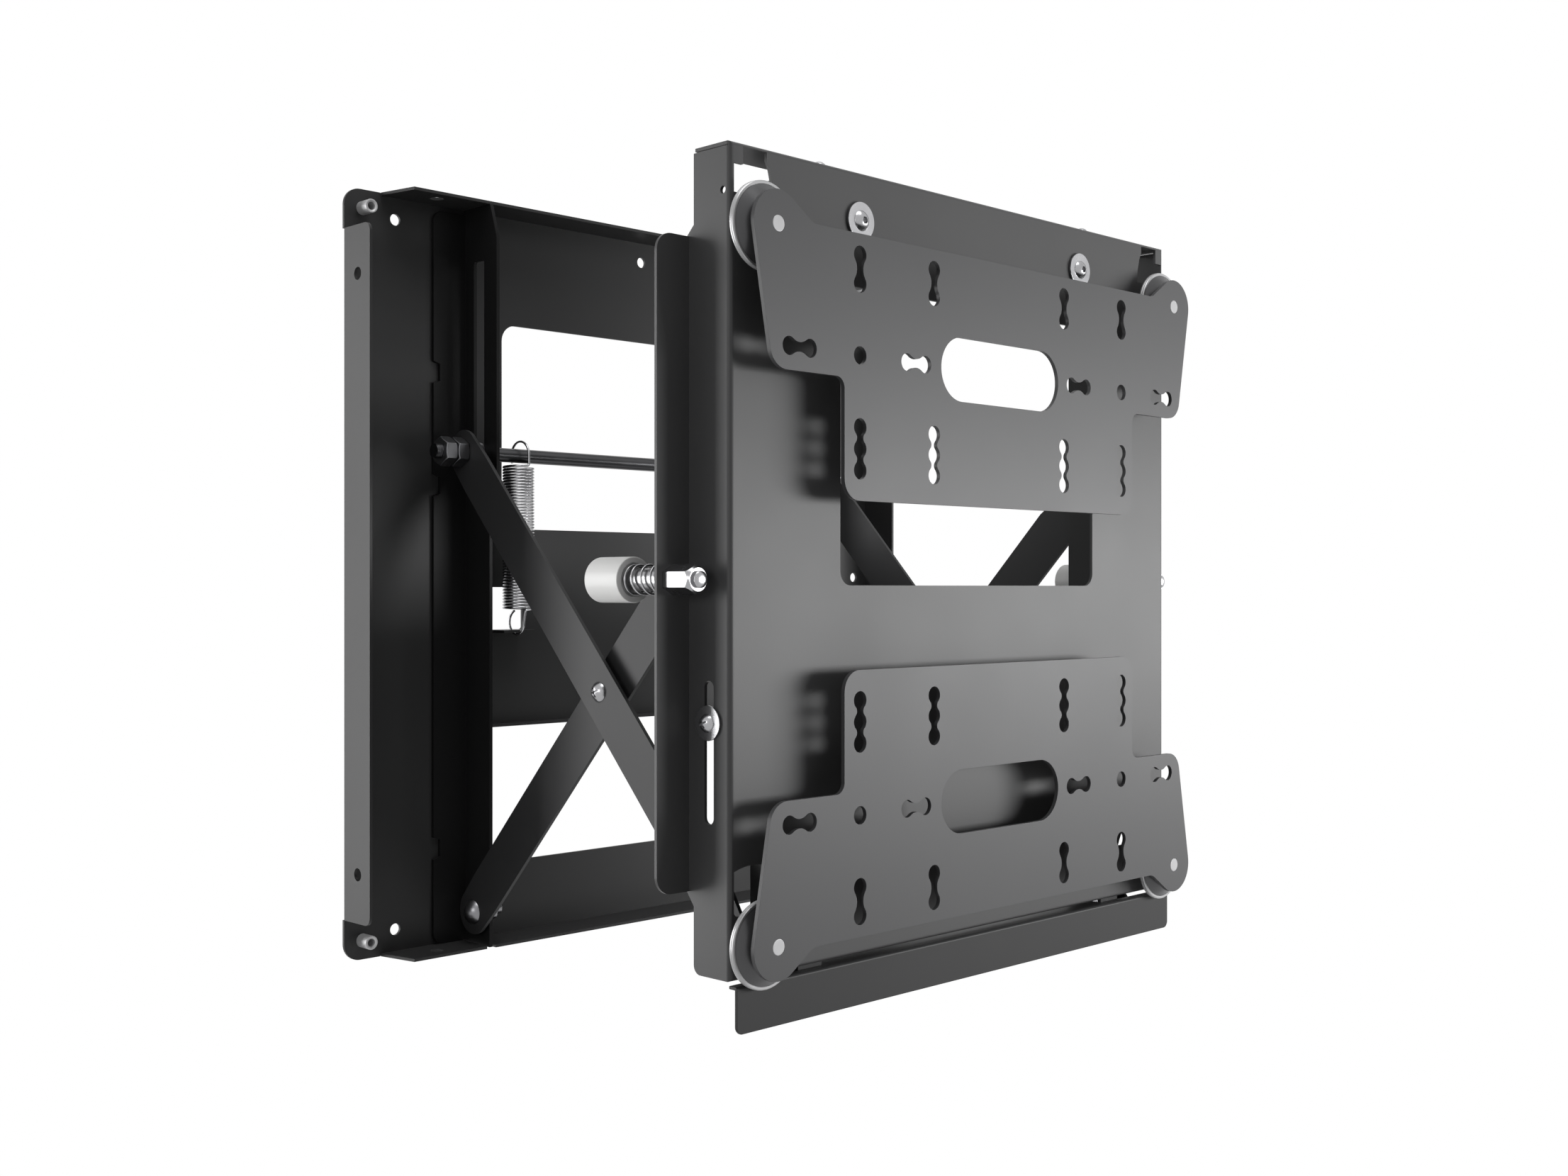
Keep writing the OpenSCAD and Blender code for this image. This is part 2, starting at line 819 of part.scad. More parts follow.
// Points on a smooth curve from p0 along t0 to p1 along t1, without its two ends
function blend_points(p0, t0, p1, t1, n) = [
    for (i = [1:n])
        let (s = i / (n + 1))
        (2 * s * s * s - 3 * s * s + 1) * p0 + (s * s * s - 2 * s * s + s) * t0
            + (3 * s * s - 2 * s * s * s) * p1 + (s * s * s - s * s) * t1
];

// The centre line of a lift spring about its own axis, from the lower hook's end to the upper hook's end.
// It is drawn with the axis at x = y = 0.
function lift_line() = concat(
    [for (i = [0:hook_rings]) hook_point(low_hook_r, low_hook_z, 200 - i * 210 / hook_rings, -1)],
    blend_points(hook_point(low_hook_r, low_hook_z, -10, -1), 14 * [0, 0.17, 0.98],
        helix_point(0), 14 * [1, 0, 0.05], 5),
    [for (i = [0:lift_turns * 8]) helix_point(i / 8)],
    blend_points(helix_point(lift_turns), 14 * [1, 0, 0.05],
        hook_point(lift_r, rod_z, -20, 1), 14 * [0, -0.3, 0.95], 5),
    [for (i = [0:hook_rings]) hook_point(lift_r, rod_z, -20 + i * 220 / hook_rings, 1)]
);

// A point on a hook: a circle across the rod, 0 degrees at the front; up is 1 over the top, -1 under the bottom
function hook_point(r, z, a, up) = [0, -r * cos(a), z + up * r * sin(a)];

// A point of the coil after so many turns, which starts at the front
function helix_point(turn) = [
    lift_r * sin(360 * turn),
    -lift_r * cos(360 * turn),
    lift_coil_z0 + (lift_coil_z1 - lift_coil_z0) * turn / lift_turns
];

// The least distance between parts of a line that lie more than skip points apart along it
function least_gap(line, skip) = min([
    for (i = [0:len(line) - 1 - skip])
        min([for (j = [i + skip:len(line) - 1]) norm(line[i] - line[j])])
]);

// A tension spring that pulls the cross rod down and so pushes the front out
module lift_spring() {
    line = lift_line();
    echo(str("lift spring: least gap to itself ", least_gap(line, 6) - lift_wire, " mm"));
    color("#9d9d9f")
        translate([-lift_x, -pivot_y, 0])
            wire_tube(line, lift_wire / 2, 6);
}

// The centre line of a plunger spring about the Y axis, from the flange back to the bumper
function plunger_line() = concat(
    [[-plunger_r, -slide_gap, 0], [-plunger_r, plunger_wire * 0.6, 0]],
    [for (i = [1:plunger_turns * 8 - 1])
        let (turn = i / 8, s = turn / plunger_turns)
        [-plunger_r * cos(360 * turn), plunger_wire + (plunger_gap - 2 * plunger_wire) * s, plunger_r * sin(360 * turn)]],
    [for (y = [plunger_gap - plunger_wire * 0.6, plunger_gap + slide_gap])
        [-plunger_r * cos(360 * plunger_turns), y, plunger_r * sin(360 * plunger_turns)]]
);

// The spring behind a bumper, a slide clearance short of the faces at both ends
module plunger_spring() {
    reach = plunger_gap - 2 * slide_gap;
    line = [for (p = plunger_line())
        [p[0], slide_gap + reach * (p[1] + slide_gap) / (plunger_gap + 2 * slide_gap), p[2]]];
    echo(str("plunger spring: least gap to itself ", least_gap(line, 6) - plunger_wire, " mm"));
    color("#c9c9cb")
        translate([-plunger_x, -flange_rear_y, plunger_z])
            wire_tube(line, plunger_wire / 2, 6);
}

// Carriage: the inner frame that the scissors push out

// The web of a front channel, with its guide slot and lower pivot hole
module front_web_outline() {
    difference() {
        union() {
            round_rect([carriage_rear_y, carriage_front_y], [carriage_bottom_z, carriage_top_z], 10);
            translate([carriage_front_y - 12, carriage_bottom_z])
                square([12, carriage_top_z - carriage_bottom_z]);
        }
        upright_slot(front_pivot_y, rod_z - guide_slot_w * 0.75, rod_high_z + guide_slot_w * 0.75, guide_slot_w);
        translate([front_pivot_y, pivot_low_z])
            circle(pivot_d / 2 + running);
    }
}

// The angle behind the pan that carries one scissor's front end
module front_channel() {
    color("#262628") {
        facing_side(-carriage_x, -carriage_x + plate_t)
            front_web_outline();
        slab([-carriage_x, -carriage_x + carriage_foot_w], [-carriage_front_y, plate_t - carriage_front_y],
            [carriage_bottom_z, carriage_top_z - rail_h]);
    }
}

// The angle that joins the front channels at the top
module top_rail() {
    half = carriage_x - plate_t;
    color("#2d2d2f")
        difference() {
            union() {
                slab([-half, half], [-carriage_front_y, sheet_t - carriage_front_y], [carriage_top_z - rail_h, carriage_top_z]);
                slab([-half, half], [-carriage_front_y, ledge_d - carriage_front_y], [carriage_top_z - sheet_t, carriage_top_z]);
            }
            facing_side(-half - over, half + over)
                translate([carriage_front_y, carriage_top_z])
                    rotate(180)
                        bend_cut(bend_r);
            for (x = [-lock_x, lock_x])
                bar_y(x, lock_z, carriage_front_y - sheet_t - over, carriage_front_y + over, lock_d / 2 + running);
        }
}

// The rail that joins the front channels at the bottom and hangs down below the pan
module bottom_rail() {
    top = pan_side_z0 - rail_gap;
    leaf_half = carriage_x - 2;
    shelf_half = carriage_x - carriage_foot_w - slide_gap;
    color("#303032") {
        intersection() {
            facing_front(carriage_front_y - over, lip_front_y + over)
                union() {
                    round_rect([-lip_half_w, lip_half_w], [lip_bottom_z, top], 7);
                    translate([-lip_half_w, top - 12])
                        square([2 * lip_half_w, 12]);
                }
            difference() {
                facing_side(-lip_half_w, lip_half_w)
                    union() {
                        translate([carriage_front_y, top - sheet_t])
                            square([lip_front_y - carriage_front_y, sheet_t]);
                        translate([lip_front_y - sheet_t, lip_bottom_z])
                            square([sheet_t, top - lip_bottom_z]);
                    }
                facing_side(-lip_half_w - over, lip_half_w + over)
                    translate([lip_front_y, top])
                        rotate(180)
                            bend_cut(lip_bend_r);
            }
        }
        // Leaf against the front channels, and the shelf between them
        slab([-leaf_half, leaf_half], [-carriage_front_y - sheet_t, -carriage_front_y], [carriage_bottom_z + 8, top]);
        slab([-shelf_half, shelf_half], [-carriage_front_y - over, shelf_d - carriage_front_y], [top - sheet_t, top]);
    }
}

// The bolts that hinge the outer arms on the front channels
module front_pivot_bolts() {
    color("#a9a9ab")
        both_sides() {
            dome_x(-arm_a_x - slide_gap, front_pivot_y, pivot_low_z, 24, 7, -1);
            bar_x(-arm_a_x - slide_gap, -carriage_x + plate_t + 14, front_pivot_y, pivot_low_z, pivot_d / 2);
        }
}

// The bushes on those bolts
module front_pivot_bushes() {
    color("#8e8e90")
        both_sides()
            ring_x(-arm_a_x + plate_t + slide_gap, -carriage_x, front_pivot_y, pivot_low_z, 10, pivot_d / 2 + running);
}

// The nuts of those bolts
module front_pivot_nuts() {
    color("#8e8e90")
        both_sides()
            nut_x(-carriage_x + plate_t, -carriage_x + plate_t + 11, front_pivot_y, pivot_low_z, 19, pivot_d / 2 + running);
}

// A hexagonal prism along Y with a corner up, a round bore, and its corners rounded off by front_cut at the front
module nut_y(x, z, y0, y1, af, bore_r, front_cut) {
    corner = af / 2 / cos(30);
    h = y1 - y0;
    translate([x, -y0, z])
        rotate([90, 0, 0])
            difference() {
                intersection() {
                    rotate([0, 0, 30])
                        cylinder(h = h, r = corner, $fn = 6);
                    rotate_extrude()
                        polygon([[0, 0], [corner - 1, 0], [corner, 0.7], [corner, h - front_cut * 1.6], [corner - front_cut, h], [0, h]]);
                }
                translate([0, 0, -over])
                    cylinder(h = h + 2 * over, r = bore_r);
            }
}

// The bolts that lock the pan at its height
module lock_bolts() {
    head_y = pan_front_y + slide_gap + lock_washer_t;
    color("#c4c4c6")
        for (x = [-lock_x, lock_x])
            difference() {
                union() {
                    bar_y(x, lock_z, carriage_front_y - sheet_t - 10, head_y, lock_d / 2);
                    translate([x, -head_y, lock_z])
                        rotate([90, 0, 0])
                            dome(19, 5);
                }
                translate([x, -head_y - 1.5, lock_z])
                    rotate([90, 0, 0])
                        cylinder(h = 10, d = 6 / cos(30), $fn = 6);
            }
}

// The wide washers under those bolts
module lock_washers() {
    color("#b4b4b6")
        for (x = [-lock_x, lock_x])
            difference() {
                bar_y(x, lock_z, pan_front_y + slide_gap, pan_front_y + slide_gap + lock_washer_t, lock_washer_d / 2);
                bar_y(x, lock_z, pan_front_y, pan_front_y + 10, lock_d / 2 + running);
            }
}

// The nuts behind the top rail that hold those bolts
module lock_nuts() {
    color("#8e8e90")
        for (x = [-lock_x, lock_x])
            nut_y(x, lock_z, carriage_front_y - sheet_t - 8, carriage_front_y - sheet_t, 17, lock_d / 2 + running, 1);
}

// A screw that stands on the top rail's ledge and lifts the pan
module height_screw() {
    z0 = carriage_top_z + slide_gap;
    top = pan_top_z + 7.1;
    color("#b4b4b6")
        difference() {
            union() {
                translate([-height_screw_x, -height_screw_y, z0])
                    cylinder(h = top - 3 - z0, d = height_screw_d);
                translate([-height_screw_x, -height_screw_y, top - 3])
                    dome(height_screw_d, 3);
            }
            translate([-height_screw_x, -height_screw_y, top - 5])
                cylinder(h = 10, d = 5 / cos(30), $fn = 6);
        }
}

// Front pan

// The pan's front plate with its window, corner openings and holes
module pan_front_outline() {
    edge = pan_half_w - bend_r;
    // Inner side and lower edge of the openings in the top corners
    inner = pan_half_w - 50.5;
    low = pan_top_z - 42.4;
    difference() {
        translate([-pan_half_w, pan_bottom_z])
            square([2 * pan_half_w, pan_top_z - pan_bottom_z]);
        round_rect([-pan_window_half, pan_window_half], [pan_window_z0, pan_window_z1], 13);
        for (side = [-1, 1]) {
            // Opening in the top corner
            polygon([
                [side * edge, low],
                [side * inner, low],
                [side * (inner + 0.5), low + 11],
                [side * (inner + 4), low + 25],
                [side * (inner + 7.6), low + 32],
                [side * (inner + 7.6), pan_top_z - sheet_t],
                [side * edge, pan_top_z - sheet_t]
            ]);
            // Opening above the lower adjuster
            intersection() {
                translate([side * stud_half, pattern_z - stud_half])
                    circle(65);
                round_rect([side < 0 ? -edge : 200, side < 0 ? -200 : edge], [-288, -200], 4);
            }
            for (z = [-stud_half, stud_half])
                translate([side * stud_half, pattern_z + z])
                    circle(stud_d / 2 + 1);
            upright_slot(side * lock_x, lock_z - pan_lift - lock_d / 2 - 1, lock_z + lock_d / 2 + 1, lock_d + 1.5);
        }
    }
}

// The left side wall of the pan, seen from its flat side
module pan_side_outline() {
    front = pan_front_y;
    rear = pan_front_y - pan_side_d;
    top = pan_top_z - sheet_t - top_joint;
    difference() {
        union() {
            difference() {
                translate([rear, pan_side_z0])
                    square([front - rear, top - pan_side_z0]);
                translate([rear, pan_side_z0])
                    bend_cut(8);
            }
            polygon([
                [rear + over, pan_flange_z0 - 12],
                [rear, pan_flange_z0 - 12],
                [flange_rear_y, pan_flange_z0],
                [flange_rear_y, pan_flange_z1],
                [rear, pan_flange_z1 + 9],
                [rear + over, pan_flange_z1 + 9]
            ]);
        }
        upright_slot(clamp_y, clamp_slot_z0, clamp_slot_z1, clamp_slot_w);
        translate([front - 8.8, pan_top_z - 40])
            circle(d = 6.5);
    }
}

// The outward flange of the pan with the hole for a plunger
module pan_flange() {
    difference() {
        facing_front(flange_rear_y, plunger_front_y)
            difference() {
                union() {
                    round_rect([-pan_flange_half, -pan_half_w + 8], [pan_flange_z0, pan_flange_z1], 16);
                    translate([-pan_half_w - 12, pan_flange_z0])
                        square([12 + sheet_t, pan_flange_z1 - pan_flange_z0]);
                }
                translate([-pan_half_w + sheet_t, pan_flange_z0 - over])
                    square([10, pan_flange_z1 - pan_flange_z0 + 2 * over]);
            }
        bar_y(-plunger_x, plunger_z, flange_rear_y - over, plunger_front_y + over, sleeve_neck_d / 2 + running);
    }
}

// The folded front frame that carries the display plates
module pan() {
    inside = pan_half_w - sheet_t;
    color("#38383a")
        difference() {
            union() {
                facing_front(pan_front_y - sheet_t, pan_front_y)
                    pan_front_outline();
                both_sides() {
                    facing_side(-pan_half_w, -inside)
                        pan_side_outline();
                    pan_flange();
                    // Stiffening lip behind the bottom edge, left out where the arms pass
                    slab([-pan_half_w + sheet_t, -arm_a_x - 6], [-pan_front_y, 12 - pan_front_y],
                        [pan_bottom_z, pan_bottom_z + sheet_t]);
                }
                slab([-pan_lip_half, pan_lip_half], [-pan_front_y, 12 - pan_front_y],
                    [pan_bottom_z, pan_bottom_z + sheet_t]);
                // Top flange
                slab([-pan_half_w, pan_half_w], [-pan_front_y, pan_side_d - pan_front_y - 2],
                    [pan_top_z - sheet_t, pan_top_z]);
                // Corner tabs at the ends of the top flange
                both_sides()
                    slab([-inside, -inside + 12], [-pan_front_y, sheet_t - pan_front_y], [pan_top_z - 18, pan_top_z]);
            }
            both_sides()
                translate([-pan_half_w, -pan_front_y, pan_side_z0 - over])
                    linear_extrude(pan_top_z - pan_side_z0 + 2 * over)
                        bend_cut(bend_r);
            facing_side(-pan_half_w, pan_half_w)
                translate([pan_front_y, pan_top_z])
                    rotate(180)
                        bend_cut(bend_r - 1);
            facing_side(-pan_half_w - over, pan_half_w + over)
                translate([pan_front_y, pan_bottom_z])
                    rotate(90)
                        bend_cut(bend_r - 1);
            for (x = [-height_screw_x, height_screw_x])
                translate([x, -height_screw_y, pan_top_z - sheet_t - over])
                    cylinder(h = sheet_t + 2 * over, r = height_screw_d / 2 + running);
        }
}

// The nuts under the top flange in which the height screws turn
module height_nuts() {
    color("#8e8e90")
        for (x = [-height_screw_x, height_screw_x])
            translate([x, -height_screw_y, pan_top_z - sheet_t - 8])
                difference() {
                    cylinder(h = 8, d = 19 / cos(30), $fn = 6);
                    translate([0, 0, -over])
                        cylinder(h = 8 + 2 * over, r = height_screw_d / 2 + running);
                }
}

// The nuts behind the pan in which the adjusters' studs turn
module stud_nuts() {
    color("#8e8e90")
        for (x = [-stud_half, stud_half], z = [-stud_half, stud_half])
            nut_y(x, pattern_z + z, pan_front_y - sheet_t - 9, pan_front_y - sheet_t, 20, stud_d / 2 + running, 1);
}

// The cross-headed screw of a side clamp
module side_clamp_screw() {
    head_x = -pan_half_w - slide_gap - clamp_washer_t;
    color("#c4c4c6")
        difference() {
            union() {
                dome_x(head_x, clamp_y, clamp_z, 16, 6, -1);
                bar_x(head_x, -pan_half_w + sheet_t + slide_gap + 6, clamp_y, clamp_z, 4);
            }
            translate([head_x - 6, -clamp_y, clamp_z])
                rotate([0, -90, 0])
                    rotate([0, 0, 25])
                        cross_recess(8.5, 3);
        }
}

// The washer of a side clamp
module side_clamp_washer() {
    color("#9d9d9f")
        ring_x(-pan_half_w - slide_gap - clamp_washer_t, -pan_half_w - slide_gap, clamp_y, clamp_z,
            clamp_washer_d / 2, 4 + running);
}

// The square nut of a side clamp, inside the pan
module side_clamp_nut() {
    inner = -pan_half_w + sheet_t + slide_gap;
    color("#8e8e90")
        difference() {
            slab([inner, inner + 5], [-clamp_y - 10, -clamp_y + 10], [clamp_z - 10, clamp_z + 10]);
            bar_x(inner - over, inner + 5 + over, clamp_y, clamp_z, 4 + running);
        }
}

// Plungers

// The guide sleeve with its neck through the flange and its domed front end
module plunger_sleeves() {
    nut_front_y = plunger_front_y + plunger_nut_len;
    color("#dcdcde")
        both_sides() {
            bar_y(-plunger_x, plunger_z, bumper_front_y - sleeve_reach, flange_rear_y, sleeve_d / 2);
            bar_y(-plunger_x, plunger_z, flange_rear_y, nut_front_y + 2, sleeve_neck_d / 2);
            translate([-plunger_x, -nut_front_y - 2, plunger_z])
                rotate([90, 0, 0])
                    dome(sleeve_neck_d, 3);
        }
}

// The long nuts that hold the sleeves on the flanges
module plunger_nuts() {
    color("#b4b4b6")
        both_sides()
            nut_y(-plunger_x, plunger_z, plunger_front_y, plunger_front_y + plunger_nut_len, plunger_nut_af,
                sleeve_neck_d / 2 + running, 3.2);
}

// The white bumper that slides on a sleeve
module bumper() {
    r = bumper_d / 2;
    bore = sleeve_d / 2 + slide_gap;
    color("#e9e9e7")
        translate([-plunger_x, -bumper_front_y + bumper_len, plunger_z])
            rotate([90, 0, 0])
                rotate_extrude()
                    polygon([
                        [0, 0], [r - 2, 0], [r, 2], [r, bumper_len - 1.2], [r - 1.2, bumper_len],
                        [bore, bumper_len], [bore, 6], [0, 6]
                    ]);
}

// Display plates and their adjusters

// Draws the right half and its mirror image
module half_and_half() {
    children();
    mirror([1, 0])
        children();
}

// The material that rounds an inner corner at the origin, spreading to +X and +Y and reaching into the body
module inner_fillet(r) {
    difference() {
        translate([-2, -2])
            square(r + 2);
        translate([r, r])
            circle(r + blend);
    }
}

// The outline of the upper display plate, before its holes; heights are above the middle of the pattern
module display_outline() {
    stud = [stud_half, stud_half];
    tip = [stud_half - 9.8, plate_step_z + tip_r];
    valley = [stud_half - 42, plate_top_z];
    reach = stud - valley;
    lean = atan2(reach[1], reach[0]) + asin(ear_r / norm(reach));
    ear = valley + sqrt(reach * reach - ear_r * ear_r) * [cos(lean), sin(lean)] + blend * [sin(lean), -cos(lean)];
    down = tip - stud;
    out = atan2(down[1], down[0]) + acos((ear_r - tip_r) / norm(down));
    round = 5 / tan(lean / 2);
    half_and_half() {
        translate(stud)
            circle(ear_r);
        translate(tip)
            circle(tip_r);
        polygon([
            [-over, plate_step_z],
            [tip[0], plate_step_z],
            tip,
            tip + (tip_r - blend) * [cos(out), sin(out)],
            stud + (ear_r - blend) * [cos(out), sin(out)],
            stud,
            ear,
            valley,
            [-over, plate_top_z]
        ]);
        // Rounded inner corner at the valley
        difference() {
            polygon([
                valley - [5, 5],
                valley - [0, 5],
                valley + [8, 0],
                valley + 5 * [cos(lean), sin(lean)],
                valley - [5, 0]
            ]);
            translate(valley + [-5, round])
                circle(round + blend);
        }
        translate([plate_low_half, plate_step_z])
            mirror([0, 1])
                inner_fillet(10);
    }
    round_rect([-plate_low_half, plate_low_half], [plate_low_z, plate_step_z + 30], 19);
}

// Round lobes in a row along X joined by necks, centred on the origin
module lobed_slot(count, step) {
    neck = lobe_r / 2;
    fillet = (step * step / 4 + neck * neck - lobe_r * lobe_r) / (2 * (lobe_r - neck));
    touch = [step / 2 * fillet / (lobe_r + fillet), (neck + fillet) * lobe_r / (lobe_r + fillet)];
    for (i = [0:count - 1])
        translate([(i - (count - 1) / 2) * step, 0])
            circle(lobe_r);
    for (i = [0:count - 2])
        translate([(i + 1 - count / 2) * step, 0])
            difference() {
                square([2 * touch[0], 2 * touch[1]], center = true);
                for (s = [-1, 1])
                    translate([0, s * (neck + fillet)])
                        circle(fillet + blend);
            }
}

// The holes of a display plate
module display_holes() {
    half_and_half() {
        translate([stud_half, stud_half])
            circle(stud_pin_d / 2 + running);
        translate([display_hole_half, display_hole_half])
            circle(d = display_hole_d);
        for (x = [display_hole_half / 2 + lobe_step, display_hole_half + 3 * lobe_step])
            translate([x, display_hole_half])
                lobed_slot(2, lobe_step);
        for (x = [display_hole_half / 2, display_hole_half]) {
            translate([x, display_hole_half + 3 * lobe_step])
                rotate(90)
                    lobed_slot(2, lobe_step);
            translate([x, display_hole_half / 2 + 0.75 * lobe_step])
                rotate(90)
                    lobed_slot(3, 0.75 * lobe_step);
        }
    }
    translate([0, display_hole_half])
        rotate(90)
            upright_slot(0, -hand_half, hand_half, hand_h);
}

// A display plate; the lower one is the upper one turned over
module display_plate(lower) {
    color("#3c3c3e")
        translate([0, 0, pattern_z])
            mirror([0, 0, lower ? 1 : 0])
                facing_front(plate_rear_y, plate_front_y)
                    difference() {
                        display_outline();
                        display_holes();
                    }
}

// An adjuster: a dished hand wheel on its stud; turning it moves one corner of a display plate in or out
module adjuster(x, z) {
    rim = wheel_d / 2;
    hub = 16;
    top = plate_rear_y - slide_gap;
    color("#b9b9bb")
        translate([x, 0, pattern_z + z])
            rotate([90, 0, 0])
                rotate_extrude($fn = 96)
                    polygon([
                        [0, stud_end_y], [stud_d / 2, stud_end_y], [stud_d / 2, wheel_rim_y - hub_d], [12, wheel_rim_y - hub_d],
                        [12, wheel_rim_y], [rim - 1, wheel_rim_y], [rim, wheel_rim_y + 1],
                        [rim, wheel_rim_y + wheel_rim_t - 1.4], [rim - 1.4, wheel_rim_y + wheel_rim_t],
                        [rim - 3, wheel_rim_y + wheel_rim_t], [hub + 2, top - 1.5], [hub, top],
                        [stud_pin_d / 2, top], [stud_pin_d / 2, plate_front_y + 0.3], [0, plate_front_y + 0.3]
                    ]);
}

wall_plate();
on_side(false) wall_channel();  // wall_channel_left
on_side(true) wall_channel();  // wall_channel_right
corner_barrels();
rear_pivot_bolts();
rear_pivot_nuts();
rear_pivot_bushes();
on_side(false) lift_spring();  // lift_spring_left
on_side(true) lift_spring();  // lift_spring_right
on_side(false) arm_b();  // arm_b_left
on_side(true) arm_b();  // arm_b_right
on_side(false) arm_a(running);  // arm_a_left
on_side(true) arm_a(slide_gap);  // arm_a_right
on_side(false) centre_screw();  // centre_screw_left
on_side(true) centre_screw();  // centre_screw_right
on_side(false) centre_spacer();  // centre_spacer_left
on_side(true) centre_spacer();  // centre_spacer_right
cross_rod();
rod_nuts();
rod_rings();
rod_bushes();
on_side(false) slide_pin();  // slide_pin_left
on_side(true) slide_pin();  // slide_pin_right
on_side(false) slide_roller();  // slide_roller_left
on_side(true) slide_roller();  // slide_roller_right
on_side(false) front_channel();  // front_channel_left
on_side(true) front_channel();  // front_channel_right
top_rail();
bottom_rail();
front_pivot_bolts();
front_pivot_bushes();
front_pivot_nuts();
lock_bolts();
lock_washers();
lock_nuts();
on_side(false) height_screw();  // height_screw_left
on_side(true) height_screw();  // height_screw_right
pan();
height_nuts();
stud_nuts();
on_side(false) side_clamp_screw();  // side_clamp_screw_left
on_side(true) side_clamp_screw();  // side_clamp_screw_right
on_side(false) side_clamp_washer();  // side_clamp_washer_left
on_side(true) side_clamp_washer();  // side_clamp_washer_right
on_side(false) side_clamp_nut();  // side_clamp_nut_left
on_side(true) side_clamp_nut();  // side_clamp_nut_right
plunger_sleeves();
plunger_nuts();
on_side(false) plunger_spring();  // plunger_spring_left
on_side(true) plunger_spring();  // plunger_spring_right
on_side(false) bumper();  // bumper_left
on_side(true) bumper();  // bumper_right
display_plate(false);  // display_plate_upper
display_plate(true);  // display_plate_lower
adjuster(-stud_half, stud_half);  // adjuster_upper_left
adjuster(stud_half, stud_half);  // adjuster_upper_right
adjuster(-stud_half, -stud_half);  // adjuster_lower_left
adjuster(stud_half, -stud_half);  // adjuster_lower_right
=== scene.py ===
# %% [markdown]
# # Dressing a push-out wall mount
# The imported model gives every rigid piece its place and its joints. This lesson adds what a camera sees:
# softened edges on the folded sheet, powder coat, zinc plating, wound springs, turned wheels and a plain
# studio. Every piece stays in the model's own frame, in metres: +X right, +Y into the wall, +Z up.

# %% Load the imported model
import json
import math

import bpy
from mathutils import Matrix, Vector


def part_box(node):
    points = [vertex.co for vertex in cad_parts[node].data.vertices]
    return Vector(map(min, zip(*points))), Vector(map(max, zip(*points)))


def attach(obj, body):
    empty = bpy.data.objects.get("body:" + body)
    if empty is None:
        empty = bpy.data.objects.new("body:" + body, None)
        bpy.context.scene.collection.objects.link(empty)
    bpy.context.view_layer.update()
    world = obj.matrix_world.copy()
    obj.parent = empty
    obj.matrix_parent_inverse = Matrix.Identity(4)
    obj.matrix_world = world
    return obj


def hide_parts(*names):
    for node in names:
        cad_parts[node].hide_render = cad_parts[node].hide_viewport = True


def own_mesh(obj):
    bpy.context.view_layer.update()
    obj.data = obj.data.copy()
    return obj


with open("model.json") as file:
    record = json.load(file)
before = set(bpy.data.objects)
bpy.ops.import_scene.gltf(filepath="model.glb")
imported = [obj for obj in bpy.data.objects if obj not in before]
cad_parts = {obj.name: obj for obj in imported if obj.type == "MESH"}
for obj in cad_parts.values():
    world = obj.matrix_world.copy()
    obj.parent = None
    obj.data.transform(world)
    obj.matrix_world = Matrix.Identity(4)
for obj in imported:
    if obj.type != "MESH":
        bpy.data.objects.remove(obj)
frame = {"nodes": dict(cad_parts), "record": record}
NODES = frame["nodes"]
BODIES = frame["record"]["behaviour"]["bodies"]
BODY_OF = {name: body for body, members in BODIES.items() for name in members}
SLOT_OF = {part["node"]: part["material_slot"] for part in frame["record"]["subparts"]}
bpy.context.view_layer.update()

# %% [markdown]
# ## The camera
# The photograph looks at the mount from its front left, level with its middle. Upright edges stay upright
# in it, so the camera is level and isn't shifted. It could be placed by eye, but its place and lens were
# solved from corners of the folded sheet, so that a render can be held against the photograph.

# %% Place the camera
CAMERA_AT = (-1.3057, -1.5414, -0.0139)
CAMERA_HEADING = math.radians(45.068)
SENSOR_WIDTH = 36.0
LENS = 39.49
NEAREST, FARTHEST = 0.05, 60

bpy.ops.object.camera_add(location=CAMERA_AT, rotation=(math.pi / 2, 0, -CAMERA_HEADING))
camera = bpy.context.object
camera.name = "studio_camera"
camera.data.sensor_width = SENSOR_WIDTH
camera.data.lens = LENS
camera.data.clip_start = NEAREST
camera.data.clip_end = FARTHEST
bpy.context.scene.camera = camera
print(camera.name, "at", CAMERA_AT, "with a lens of", LENS, "mm")

# %% [markdown]
# ## Writing materials as sums
# A material is a small graph. Wiring each Math node by hand hides the idea behind it, so a small class
# wraps a socket: adding or multiplying two wires adds the Math node that does it.

